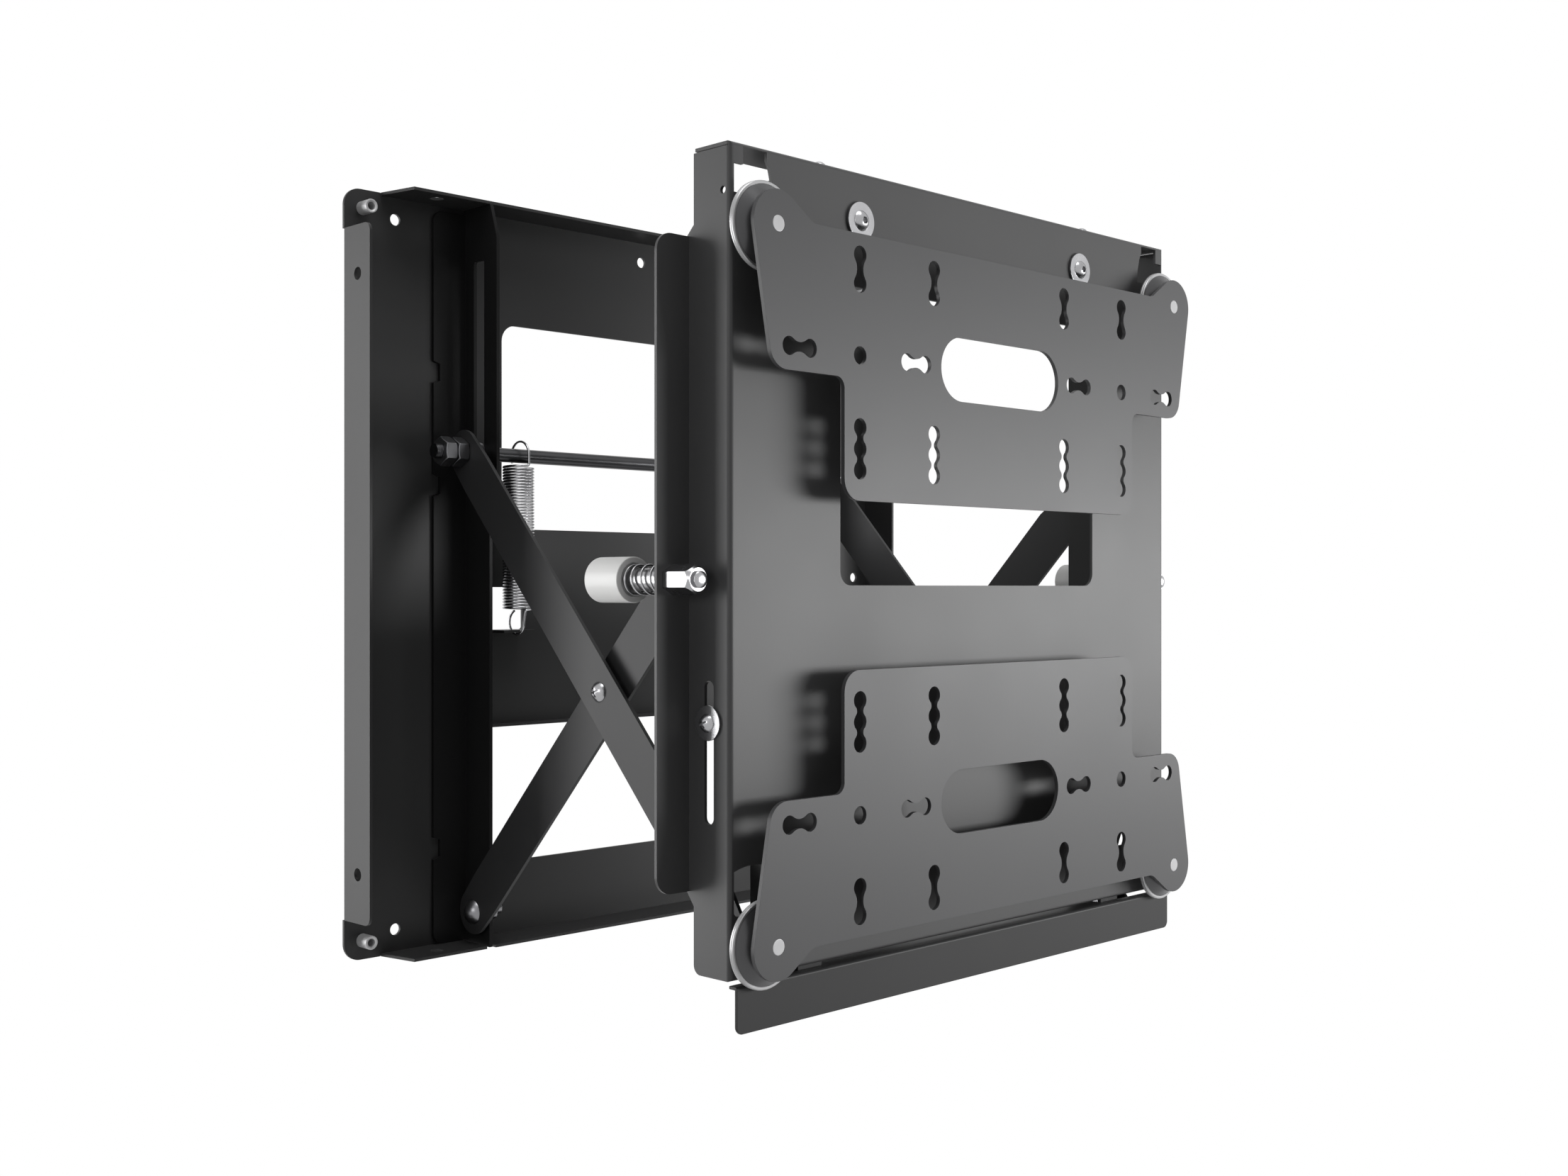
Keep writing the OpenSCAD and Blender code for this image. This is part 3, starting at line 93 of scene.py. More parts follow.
# %% The wire class
class Wire:
    """An output socket of a shader node that can be used in sums."""

    def __init__(self, tree, socket):
        self.tree = tree
        self.socket = socket

    def _math(self, operation, *values):
        return node(self.tree, "ShaderNodeMath", dict(enumerate(values)), operation=operation)

    def __add__(self, other):
        return self._math("ADD", self, other)

    def __sub__(self, other):
        return self._math("SUBTRACT", self, other)

    def __rsub__(self, other):
        return self._math("SUBTRACT", other, self)

    def __mul__(self, other):
        return self._math("MULTIPLY", self, other)

    def __pow__(self, other):
        return self._math("POWER", self, other)

    def __rpow__(self, other):
        return self._math("POWER", other, self)

    __radd__ = __add__
    __rmul__ = __mul__

    def sin(self):
        return self._math("SINE", self)

    def abs(self):
        return self._math("ABSOLUTE", self)

    def clamp(self):
        """Held between 0 and 1."""
        return node(self.tree, "ShaderNodeClamp", {"Value": self, "Min": 0.0, "Max": 1.0})

    def step(self, low, high):
        """0 below low, 1 above high, and a smooth rise between them."""
        values = {"Value": self, "From Min": low, "From Max": high}
        return node(self.tree, "ShaderNodeMapRange", values, interpolation_type="SMOOTHSTEP")

    def swing(self, width):
        """A value between 0 and 1 made to swing to both sides of 0, over a width."""
        return (self - 0.5) * width

    def beside(self, output):
        """Another output of the node that this wire comes from."""
        return Wire(self.tree, self.socket.node.outputs[output])


# %% [markdown]
# ## Adding nodes
# Every node comes from one function. It sets the node's own settings first, because some of them change
# which sockets the node shows, and then fills its sockets with plain values or with wires.

# %% Nodes and links
def plug(tree, socket, value):
    """Links a wire to a socket, or sets the socket to a plain value."""
    if isinstance(value, Wire):
        tree.links.new(value.socket, socket)
    else:
        socket.default_value = value


def node(tree, kind, values=None, output=0, **settings):
    """Adds a shader node: first its settings, then the values or wires of its inputs."""
    made = tree.nodes.new(kind)
    for name, value in settings.items():
        setattr(made, name, value)
    for name, value in (values or {}).items():
        plug(tree, made.inputs[name], value)
    return Wire(tree, made.outputs[output])


# %% [markdown]
# ## What the finishes share
# Every finish below is a colour that drifts between two shades, a roughness that wanders and a fine bump.
# All read the place on the piece in metres, and not a picture, so the grain has its real size on every
# piece. The sockets of a Mix node share their names, so its colour sockets are given by number.

# %% Helpers for finishes
MIX_FACTOR, MIX_LOW, MIX_HIGH, MIX_RESULT = 0, 6, 7, 2
NOISE_ROUGHNESS = 0.55


def position(tree):
    """The place on the piece, in metres in the model's frame."""
    return node(tree, "ShaderNodeTexCoord", output="Object")


def mix(tree, factor, low, high):
    """A colour between low and high."""
    values = {MIX_FACTOR: factor, MIX_LOW: (*low, 1), MIX_HIGH: (*high, 1)}
    return node(tree, "ShaderNodeMix", values, output=MIX_RESULT, data_type="RGBA")


def tinted(shade, factor):
    """The same colour, darker or lighter."""
    return tuple(value * factor for value in shade)


def noise(tree, place, scale, detail):
    """Clouds between 0 and 1; scale is about how many lie along a metre, detail how finely they break up."""
    values = {"Vector": place, "Scale": scale, "Detail": detail, "Roughness": NOISE_ROUGHNESS}
    return node(tree, "ShaderNodeTexNoise", values, output="Fac")


def bump(tree, height, strength, distance):
    """A surface raised by height, for the Normal socket."""
    values = {"Height": height, "Strength": strength, "Distance": distance}
    return node(tree, "ShaderNodeBump", values, output="Normal")


def surface(name, make):
    """A material on one Principled shader; make(tree) gives a value or a wire for each socket it sets."""
    material = bpy.data.materials.new(name)
    material.use_nodes = True
    tree = material.node_tree
    shader = tree.nodes["Principled BSDF"]
    for socket, value in make(tree).items():
        plug(tree, shader.inputs[socket], value)
    return material


# %% [markdown]
# ## Powder coat
# The sheet is coated with a fine satin powder. Such a coat is almost even in colour, has a faint orange
# peel a millimetre or two wide, and a shine that wanders a little. One even colour would look like a
# drawing, so noise in three sizes drives colour, shine and bump. Each group of pieces gets its own shade
# of the one charcoal coat, set for the light that falls on it: the pan and the display plates get lighter
# ones, painted light from the front lamp, and the wall channels a near-black one, painted shade.

# %% Powder coat
COAT_CLOUDS, COAT_GRAINS, COAT_PEEL = 7, 900, 420
COAT_DARK, COAT_LIGHT = 0.90, 1.10
CLOUD_SHARE, GRAIN_SHARE = 0.6, 0.4
CLOUD_SWING, GRAIN_SWING = 0.08, 0.06
GRAIN_ON_PEEL = 0.3
PEEL_STRENGTH, PEEL_DEPTH = 0.08, 0.0003


def powder_coat(name, shade, roughness, shine):
    def make(tree):
        place = position(tree)
        cloud = noise(tree, place, COAT_CLOUDS, detail=2)
        grain = noise(tree, place, COAT_GRAINS, detail=2)
        peel = noise(tree, place, COAT_PEEL, detail=1)
        spread = cloud * CLOUD_SHARE + grain * GRAIN_SHARE
        return {
            "Base Color": mix(tree, spread, tinted(shade, COAT_DARK), tinted(shade, COAT_LIGHT)),
            "Roughness": roughness + cloud.swing(CLOUD_SWING) + grain.swing(GRAIN_SWING),
            "Normal": bump(tree, peel + grain * GRAIN_ON_PEEL, PEEL_STRENGTH, PEEL_DEPTH),
            "Specular IOR Level": shine,
        }

    return surface(name, make)


# %% [markdown]
# ## Plated and plain steel
# The fasteners are zinc plated: light, a little cloudy, with fine marks of the tool. The nuts and bolts
# behind are plainer and darker. One grey for all would hide what each is made of, so one function takes
# the shade, the roughness and the depth of the marks. A dull plating is a mixture of metal and oxide, so
# it is less metallic.

# %% Steel
STEEL_CLOUDS, STEEL_MARKS = 60, 1500
STEEL_DARK, STEEL_LIGHT = 0.9, 1.08
STEEL_SWING = 0.1
MARK_DEPTH = 0.0001


def steel(name, shade, roughness, marks, metallic=1.0):
    def make(tree):
        place = position(tree)
        cloud = noise(tree, place, STEEL_CLOUDS, detail=3)
        fine = noise(tree, place, STEEL_MARKS, detail=2)
        return {
            "Base Color": mix(tree, cloud, tinted(shade, STEEL_DARK), tinted(shade, STEEL_LIGHT)),
            "Roughness": roughness + cloud.swing(STEEL_SWING) + fine.swing(marks),
            "Normal": bump(tree, fine, marks, MARK_DEPTH),
            "Metallic": metallic,
        }

    return surface(name, make)


# %% [markdown]
# ## Turned wheels
# The hand wheels are turned on a lathe, which leaves fine rings round each centre. Their dish gets a dark
# shade, which paints in the shade and dark reflections it holds, and their rim and the end of their stud a
# light one, which paints in their highlights. Each wheel could have its own material with its own centre,
# but the four centres mirror each other about the middle of the display pattern, so folding X and Z with
# an absolute value lets one material serve all four.

# %% Turned aluminium
# Half the distance between two studs, and the height of the middle of their pattern.
STUD_HALF = 0.3
PATTERN_Z = -0.0116
DISH_RADIUS, RIM_RADIUS = 0.0350, 0.0354
STUD_RADIUS, STUD_BLUR = 0.0085, 1.05
RING_WAVES = 3000
WHEEL_CLOUDS = 160
WHEEL_SWING, RING_SWING = 0.1, 0.04
RING_STRENGTH = 0.01
WHEEL_METALLIC = 0.4


def turned_wheel_painted_light(name, dish_painted_shade, rim_painted_highlight, roughness):
    def make(tree):
        place = position(tree)
        x = node(tree, "ShaderNodeSeparateXYZ", {"Vector": place}, output="X")
        across = x.abs() - STUD_HALF
        up = (x.beside("Z") - PATTERN_Z).abs() - STUD_HALF
        radius = (across * across + up * up) ** 0.5
        rings = (radius * RING_WAVES).sin() * 0.5 + 0.5
        wander = noise(tree, place, WHEEL_CLOUDS, detail=3)
        # Painted light: the dish takes a dark shade for its shade and dark reflections, and the rim and stud
        # end a light one for their highlights.
        rim_highlight = radius.step(DISH_RADIUS, RIM_RADIUS)
        stud_highlight = 1 - radius.step(STUD_RADIUS, STUD_RADIUS * STUD_BLUR)
        return {
            "Base Color": mix(tree, rim_highlight + stud_highlight, dish_painted_shade, rim_painted_highlight),
            "Roughness": roughness + wander.swing(WHEEL_SWING) + rings * RING_SWING,
            "Normal": bump(tree, rings, RING_STRENGTH, MARK_DEPTH),
            "Metallic": WHEEL_METALLIC,
        }

    return surface(name, make)


# %% [markdown]
# ## Moulded plastic
# The bumpers and rollers are moulded in white plastic, even in colour, with a soft shine and a very faint
# texture from the mould. A coloured map would show more than there is, so two faint noises are enough.

# %% Moulded plastic
PLASTIC_CLOUDS, PLASTIC_GRAINS = 45, 1100
PLASTIC_DARK = 0.97
PLASTIC_SWING = 0.1
MOULD_STRENGTH, MOULD_DEPTH = 0.06, 0.0002


def moulded(name, shade, roughness):
    def make(tree):
        place = position(tree)
        cloud = noise(tree, place, PLASTIC_CLOUDS, detail=2)
        fine = noise(tree, place, PLASTIC_GRAINS, detail=2)
        return {
            "Base Color": mix(tree, cloud, tinted(shade, PLASTIC_DARK), shade),
            "Roughness": roughness + cloud.swing(PLASTIC_SWING),
            "Normal": bump(tree, fine, MOULD_STRENGTH, MOULD_DEPTH),
        }

    return surface(name, make)


# %% [markdown]
# ## A material for each slot
# The record gives every piece a slot, and each slot gets one material. Two groups get a finish apart from
# their slot: the wall channels stand in shade, which is painted into a near-black coat of their own, and
# the corner barrels are of a duller zinc. Each line gives the shade and the roughness, and then the shine
# of a paint or the marks of a metal.

# %% Make the materials
MATERIALS = {
    "frame_paint": powder_coat("frame_powder_coat", (0.036, 0.036, 0.0365), 0.42, 0.18),
    "arm_paint": powder_coat("arm_powder_coat", (0.033, 0.033, 0.034), 0.42, 0.16),
    "carriage_paint": powder_coat("carriage_powder_coat", (0.036, 0.036, 0.0365), 0.42, 0.16),
    # Painted light: the pan and display coats are lighter copies of the frame's charcoal, for the front lamp
    # on them.
    "pan_paint": powder_coat("pan_coat_painted_light", (0.059, 0.059, 0.060), 0.42, 0.25),
    "display_paint": powder_coat("display_coat_painted_light", (0.057, 0.057, 0.059), 0.43, 0.28),
    "rod_steel": steel("dark_rod_steel", (0.07, 0.07, 0.073), 0.32, 0.04),
    "zinc": steel("zinc_plating", (0.37, 0.37, 0.38), 0.26, 0.03),
    "plain_steel": steel("plain_steel", (0.22, 0.22, 0.23), 0.33, 0.04),
    "spring_steel": steel("spring_wire", (0.40, 0.40, 0.41), 0.24, 0.02),
    # Painted light: a dark dish for shade, and a light rim and stud end for highlights.
    "wheel_metal": turned_wheel_painted_light("turned_wheel_painted_light", (0.075, 0.075, 0.078), (0.40, 0.40, 0.405), 0.30),
    # Painted shade: a near-black coat for the wall channels, which stand in shade.
    "channel_painted_shade": powder_coat("channel_painted_shade_coat", (0.012, 0.012, 0.0123), 0.42, 0.10),
    "dull_zinc": steel("dull_zinc", (0.55, 0.55, 0.555), 0.42, 0.04, 0.35),
    "white_plastic": moulded("white_plastic", (0.80, 0.80, 0.79), 0.42),
    "roller_plastic": moulded("roller_plastic", (0.8, 0.8, 0.78), 0.4),
}
OWN_FINISH = {
    "wall_channel_left": "channel_painted_shade",
    "wall_channel_right": "channel_painted_shade",
    "corner_barrels": "dull_zinc",
}


def material_of(name):
    """The material of a CAD node: its own finish, or the one of its slot."""
    return MATERIALS[OWN_FINISH.get(name, SLOT_OF[name])]


for name, solid in NODES.items():
    solid.data.materials.clear()
    solid.data.materials.append(material_of(name))
print("materials:", ", ".join(MATERIALS))

# %% [markdown]
# ## Softened edges
# A cut or folded edge is never perfectly sharp: it holds a thin line of light, and that line is what
# makes sheet metal look real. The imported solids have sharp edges. A shader could fake the line, but a
# real bevel also shows in the outline. Each solid is copied, the loose triangles of the copy are merged
# into flat faces, and its sharp edges get a narrow bevel. Weighted normals keep the flats flat.

# %% Helpers for modelling
SMOOTH_ANGLE = math.radians(32)
FLAT_WEIGHT = 80


def deselect():
    """Leaves edit mode and selects nothing."""
    if bpy.context.mode != "OBJECT":
        bpy.ops.object.mode_set(mode="OBJECT")
    bpy.ops.object.select_all(action="DESELECT")


def make_active(piece):
    """Selects one piece alone, for the operators that follow."""
    deselect()
    piece.select_set(True)
    bpy.context.view_layer.objects.active = piece


def apply_modifier(piece, kind, **settings):
    """Adds a modifier, sets it up and applies it; the piece has to be active."""
    modifier = piece.modifiers.new(kind.title(), kind)
    for name, value in settings.items():
        setattr(modifier, name, value)
    bpy.ops.object.modifier_apply(modifier=modifier.name)


def round_edges(piece, width, sharp_angle, segments=2):
    """Bevels every edge sharper than an angle, and smooths the piece over its flatter ones."""
    make_active(piece)
    apply_modifier(piece, "BEVEL", width=width, segments=segments, limit_method="ANGLE",
                   angle_limit=sharp_angle, use_clamp_overlap=True)
    bpy.ops.object.shade_smooth_by_angle(angle=SMOOTH_ANGLE)
    apply_modifier(piece, "WEIGHTED_NORMAL", keep_sharp=True, weight=FLAT_WEIGHT)


def finish_piece(piece, name, like):
    """Names a piece and gives it the body and material of the CAD node that it is like."""
    piece.name = name
    piece.data.name = name
    piece.data.materials.clear()
    piece.data.materials.append(material_of(like))
    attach(piece, BODY_OF[like])
    return piece


# %% Soften one solid
MERGE_GAP = 2e-6
FLAT_ANGLE = math.radians(0.4)
FOLD_ANGLE = math.radians(38)


def soften(name, width):
    """A copy of a CAD node with merged faces and softened edges, which stands for the node."""
    piece = NODES[name].copy()
    piece.data = NODES[name].data.copy()
    piece.parent = None
    for key in list(piece.keys()):
        del piece[key]
    bpy.context.scene.collection.objects.link(piece)
    make_active(piece)
    bpy.ops.object.mode_set(mode="EDIT")
    bpy.ops.mesh.select_all(action="SELECT")
    bpy.ops.mesh.remove_doubles(threshold=MERGE_GAP)
    bpy.ops.mesh.dissolve_limited(angle_limit=FLAT_ANGLE)
    bpy.ops.object.mode_set(mode="OBJECT")
    bpy.ops.mesh.customdata_custom_splitnormals_clear()
    round_edges(piece, width, FOLD_ANGLE)
    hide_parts(name)
    return finish_piece(piece, name + "_soft", name)


# %% Soften the sheet pieces, the bars and the fasteners
# The widths of the bevels: a folded sheet has a wide rounding, a small fastener a narrow one.
SHEET_EDGE = 0.0009
BAR_EDGE = 0.0006
SMALL_EDGE = 0.0004
EDGES = {
    SHEET_EDGE: ["wall_plate", "pan", "top_rail", "bottom_rail", "front_channel_left",
                 "front_channel_right"],
    BAR_EDGE: ["wall_channel_left", "wall_channel_right", "arm_a_left", "arm_a_right", "arm_b_left",
               "arm_b_right", "display_plate_upper", "display_plate_lower"],
    SMALL_EDGE: ["rear_pivot_bolts", "rear_pivot_nuts", "centre_screw_left", "centre_screw_right",
                 "cross_rod", "rod_nuts", "rod_rings", "lock_bolts", "lock_washers", "height_screw_left",
                 "height_screw_right", "side_clamp_screw_left", "side_clamp_screw_right",
                 "side_clamp_washer_left", "side_clamp_washer_right",
                 "slide_pin_left", "slide_pin_right", "front_pivot_bolts"],
}
for width, names in EDGES.items():
    for name in names:
        piece = soften(name, width)
        print(piece.name, len(piece.data.vertices), "vertices")

# %% [markdown]
# ## Pieces that repeat
# What repeats is modelled once. Every copy has a mesh of its own and is moved inside it, in edit mode, so
# that its object stays at the origin as the CAD nodes do.

# %% Helpers for copies
def copy_moved(piece, by):
    """A copy of a piece with its own mesh, which is moved."""
    made = piece.copy()
    made.data = piece.data.copy()
    bpy.context.scene.collection.objects.link(made)
    make_active(made)
    bpy.ops.object.mode_set(mode="EDIT")
    bpy.ops.mesh.select_all(action="SELECT")
    bpy.ops.transform.translate(value=by)
    bpy.ops.object.mode_set(mode="OBJECT")
    return made


def both_sides(piece, reach):
    """A piece on the left and a copy of it as far to the right of the middle."""
    return ("left", piece), ("right", copy_moved(piece, (2 * reach, 0, 0)))


def joined(pieces):
    """Joins pieces into the first one."""
    deselect()
    for piece in pieces:
        piece.select_set(True)
    bpy.context.view_layer.objects.active = pieces[0]
    bpy.ops.object.join()
    return pieces[0]


# %% [markdown]
# ## Lift springs
# Two tension springs pull the cross rod down. Each is 49 tight curls of round wire, with a hook over the
# rod and one through a tongue of the wall plate. A curve with a round section could draw it, but would
# pinch where the hooks leave the coil. So a ring of points is the section of the wire: the Screw modifier
# winds it into the coil, and spinning the ring at each end bends the hooks.

# %% Helpers for wound wire
WIRE_SIDES = 8
RINGS_A_TURN = 22
PICK_REACH = 1.05
WIRE_SMOOTH_ANGLE = math.radians(60)


def wire_section(radius, at):
    """An open ring of points round X: the section from which a wire is drawn."""
    deselect()
    bpy.ops.mesh.primitive_circle_add(vertices=WIRE_SIDES, radius=radius, location=at,
                                      rotation=(0, math.pi / 2, 0))
    bpy.ops.object.transform_apply(location=True, rotation=True, scale=True)
    return bpy.context.object


def wind(piece, turns, height, steps, repeats=1):
    """Winds a section round the Z axis, over a height, and repeats that upwards."""
    make_active(piece)
    apply_modifier(piece, "SCREW", axis="Z", angle=math.tau * turns, screw_offset=height, iterations=repeats,
                   steps=steps, render_steps=steps)


def pick_ring(piece, centre, radius):
    """Opens edit mode with only the ring of points round a centre selected."""
    make_active(piece)
    bpy.ops.object.mode_set(mode="EDIT")
    bpy.ops.mesh.select_mode(type="VERT")
    bpy.ops.mesh.select_all(action="DESELECT")
    bpy.ops.object.mode_set(mode="OBJECT")
    for point in piece.data.vertices:
        point.select = (point.co - Vector(centre)).length < radius * PICK_REACH
    bpy.ops.object.mode_set(mode="EDIT")


def draw_on(move):
    """Draws the chosen points out along a straight line."""
    bpy.ops.mesh.extrude_region_move(TRANSFORM_OT_translate={"value": move})


def bend_on(centre, axis, degrees, steps):
    """Bends the wire on, by spinning the chosen ring about an axis; the operator counts turns clockwise."""
    bpy.ops.mesh.spin(steps=steps, angle=-math.radians(degrees), center=centre, axis=axis)


def close_wire(piece, at):
    """Caps open ends, turns all faces outwards and moves the wire to its place."""
    bpy.ops.mesh.select_mode(type="VERT")
    bpy.ops.mesh.select_all(action="DESELECT")
    bpy.ops.mesh.select_non_manifold()
    bpy.ops.mesh.edge_face_add()
    bpy.ops.mesh.select_all(action="SELECT")
    bpy.ops.mesh.normals_make_consistent(inside=False)
    bpy.ops.transform.translate(value=at)
    bpy.ops.object.mode_set(mode="OBJECT")
    bpy.ops.object.shade_smooth_by_angle(angle=WIRE_SMOOTH_ANGLE)


# %% Wind the lift springs
LIFT_WIRE = 0.00132
LIFT_RADIUS = 0.0158
LIFT_TURNS = 49
LIFT_LOW, LIFT_HIGH = -0.03725, 0.11705
LIFT_X = 0.1966
HOOK_BEND = 0.0022
LOW_HOOK_RADIUS = 0.013
LOW_HOOK_Z = -0.05075
PIVOT_Y = -0.031
ROD_Z = sum(corner.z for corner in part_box("cross_rod")) / 2
# Each arc of a hook has its degrees and its steps.
QUARTER, HIGH_HOOK, LOW_HOOK = (90, 5), (205, 24), (250, 26)


def lift_spring():
    piece = wire_section(LIFT_WIRE, (0, -LIFT_RADIUS, LIFT_LOW))
    wind(piece, 1, (LIFT_HIGH - LIFT_LOW) / LIFT_TURNS, RINGS_A_TURN, repeats=LIFT_TURNS)
    pick_ring(piece, (0, -LIFT_RADIUS, LIFT_HIGH), LIFT_WIRE)
    bend_on((0, -LIFT_RADIUS, LIFT_HIGH + HOOK_BEND), (0, -1, 0), *QUARTER)
    draw_on((0, 0, ROD_Z - LIFT_HIGH - HOOK_BEND))
    bend_on((HOOK_BEND, 0, ROD_Z), (-1, 0, 0), *HIGH_HOOK)
    pick_ring(piece, (0, -LIFT_RADIUS, LIFT_LOW), LIFT_WIRE)
    bend_on((0, -LIFT_RADIUS, LIFT_LOW - HOOK_BEND), (0, -1, 0), *QUARTER)
    draw_on((0, LIFT_RADIUS - LOW_HOOK_RADIUS, LOW_HOOK_Z - LIFT_LOW + HOOK_BEND))
    bend_on((-HOOK_BEND, 0, LOW_HOOK_Z), (1, 0, 0), *LOW_HOOK)
    close_wire(piece, (-LIFT_X, PIVOT_Y, 0))
    return piece


for side, piece in both_sides(lift_spring(), LIFT_X):
    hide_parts("lift_spring_" + side)
    finish_piece(piece, "lift_spring_wound_" + side, "lift_spring_" + side)
    print(piece.name, len(piece.data.polygons), "faces")

# %% [markdown]
# ## Plunger springs
# A short, open compression spring sits on each plunger's sleeve between the bumper and the flange. Its
# end curls are flat against what they press on. It could be wound along Y at once, but the Screw modifier
# is easiest to read about Z: so it is wound upright and laid down along Y.

# %% Wind the plunger springs
PLUNGER_WIRE = 0.00115
PLUNGER_RADIUS = 0.0125
PLUNGER_TURNS = 3.5
PLUNGER_STEPS = int(PLUNGER_TURNS * RINGS_A_TURN * 2)
FLAT_CURL = (285, 36)
PLUNGER_X = 0.3456
PLUNGER_Z = -0.0068
spring_low, spring_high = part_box("plunger_spring_left")
flange_y = spring_low.y
SPRING_LENGTH = spring_high.y - spring_low.y


def plunger_spring():
    first, last = PLUNGER_WIRE, SPRING_LENGTH - PLUNGER_WIRE
    piece = wire_section(PLUNGER_WIRE, (0, -PLUNGER_RADIUS, first))
    wind(piece, PLUNGER_TURNS, last - first, PLUNGER_STEPS)
    pick_ring(piece, (0, -PLUNGER_RADIUS, first), PLUNGER_WIRE)
    bend_on((0, 0, first), (0, 0, -1), *FLAT_CURL)
    part_turn = math.tau * (PLUNGER_TURNS % 1)
    end = (PLUNGER_RADIUS * math.sin(part_turn), -PLUNGER_RADIUS * math.cos(part_turn), last)
    pick_ring(piece, end, PLUNGER_WIRE)
    bend_on((0, 0, last), (0, 0, 1), *FLAT_CURL)
    bpy.ops.mesh.select_all(action="SELECT")
    bpy.ops.transform.rotate(value=math.pi / 2, orient_axis="X", center_override=(0, 0, 0))
    bpy.ops.object.mode_set(mode="OBJECT")
    lowest = min(point.co.y for point in piece.data.vertices)
    bpy.ops.object.mode_set(mode="EDIT")
    close_wire(piece, (-PLUNGER_X, flange_y - lowest, PLUNGER_Z))
    return piece


for side, piece in both_sides(plunger_spring(), PLUNGER_X):
    sign = 1 if side == "right" else -1
    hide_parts("plunger_spring_" + side)
    finish_piece(piece, "plunger_spring_wound_" + side, "plunger_spring_" + side)
    "bumper_press_" + side
    sign * PLUNGER_X
    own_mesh(piece)
    print(piece.name, len(piece.data.polygons), "faces")

# %% [markdown]
# ## Bumpers
# Each bumper is a thick white cup that slides on the plunger's sleeve. It could be cut from cylinders,
# but a lathe makes it in one go, and so does this: a disc is drawn out step by step, and each step
# extrudes the end face and scales it. The back has a chamfered rim and the front a shallow seat for the
# spring, and all rims are bevelled, so that they catch a line of light.

# %% Turn a piece from a disc
LATHE_SIDES = 64
TURNED_ANGLE = math.radians(40)


def turned(x, z, profile, sides=LATHE_SIDES):
    """Draws a disc out along Y; profile lists the radius and the Y of each step."""
    radius, at = profile[0]
    deselect()
    bpy.ops.mesh.primitive_circle_add(vertices=sides, radius=radius, fill_type="NGON", location=(x, at, z),
                                      rotation=(math.pi / 2, 0, 0))
    bpy.ops.object.transform_apply(location=True, rotation=True, scale=True)
    piece = bpy.context.object
    bpy.ops.object.mode_set(mode="EDIT")
    bpy.ops.mesh.select_mode(type="FACE")
    bpy.ops.mesh.select_all(action="SELECT")
    for next_radius, next_at in profile[1:]:
        draw_on((0, next_at - at, 0))
        scale = next_radius / radius
        bpy.ops.transform.resize(value=(scale, 1, scale), center_override=(x, next_at, z))
        radius, at = next_radius, next_at
    bpy.ops.mesh.select_all(action="SELECT")
    bpy.ops.mesh.normals_make_consistent(inside=False)
    bpy.ops.object.mode_set(mode="OBJECT")
    return piece


# %% Turn the bumpers
BUMPER_CHAMFER = 0.002
SEAT_RADIUS, SEAT_DEPTH = 0.0146, 0.0035
BORE_RADIUS, BORE_FLOOR = 0.01005, 0.006
BUMPER_EDGE, BUMPER_SEGMENTS = 0.0009, 3


def bumper():
    low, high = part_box("bumper_left")
    outer = (high.z - low.z) / 2
    front, back = low.y, high.y
    piece = turned(-PLUNGER_X, PLUNGER_Z, [
        (outer - BUMPER_CHAMFER, back), (outer, back - BUMPER_CHAMFER), (outer, front),
        (SEAT_RADIUS, front), (SEAT_RADIUS, front + SEAT_DEPTH), (BORE_RADIUS, front + SEAT_DEPTH),
        (BORE_RADIUS, back - BORE_FLOOR)])
    round_edges(piece, BUMPER_EDGE, TURNED_ANGLE, BUMPER_SEGMENTS)
    return piece


for side, piece in both_sides(bumper(), PLUNGER_X):
    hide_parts("bumper_" + side)
    finish_piece(piece, "bumper_turned_" + side, "bumper_" + side)
    print(piece.name, len(piece.data.polygons), "faces")

# %% [markdown]
# ## Plungers
# The polished sleeve of a plunger runs through the pan's flange. A long hexagonal nut with a turned
# chamfer holds it, and its round end stands out of the nut. A bevel on the nut's corners would be
# straight, so the nut is a six-sided prism cut by a turned body with a Boolean modifier, which leaves the
# curved edges of a real nut.

# %% Turn the sleeves
SLEEVE_RADIUS, SLEEVE_CHAMFER = 0.00975, 0.0006
SLEEVE_FRONT, SLEEVE_BACK = (corner.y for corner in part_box("plunger_sleeves"))
SLEEVE_EDGE = 0.0003
NECK_RADIUS = 0.00725
# How far each ring of the round end lies inside the neck and behind the tip.
ROUND_END = [(0, 0.0022), (0.0008, 0.0012), (0.0026, 0.0004)]
TIP_RADIUS = 0.002


def plunger_sleeve():
    rounding = [(NECK_RADIUS - inside, SLEEVE_FRONT + behind) for inside, behind in ROUND_END]
    piece = turned(-PLUNGER_X, PLUNGER_Z, [
        (SLEEVE_RADIUS - SLEEVE_CHAMFER, SLEEVE_BACK), (SLEEVE_RADIUS, SLEEVE_BACK - SLEEVE_CHAMFER),
        (SLEEVE_RADIUS, flange_y), (NECK_RADIUS, flange_y), *rounding, (TIP_RADIUS, SLEEVE_FRONT)])
    round_edges(piece, SLEEVE_EDGE, TURNED_ANGLE)
    return piece


# %% Cut the nuts
NUT_FLATS = 0.0225
HALF_SIDE = math.radians(30)
NUT_FRONT, NUT_BACK = (corner.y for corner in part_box("plunger_nuts"))
NUT_CONE, NUT_CONE_SLOPE = 0.0032, 1.6
NUT_BACK_CHAMFER = (0.001, 0.0008)
CUTTER_SIDES = 96
CUTTER_ROOM, CUTTER_PAST = 0.0001, 0.00001


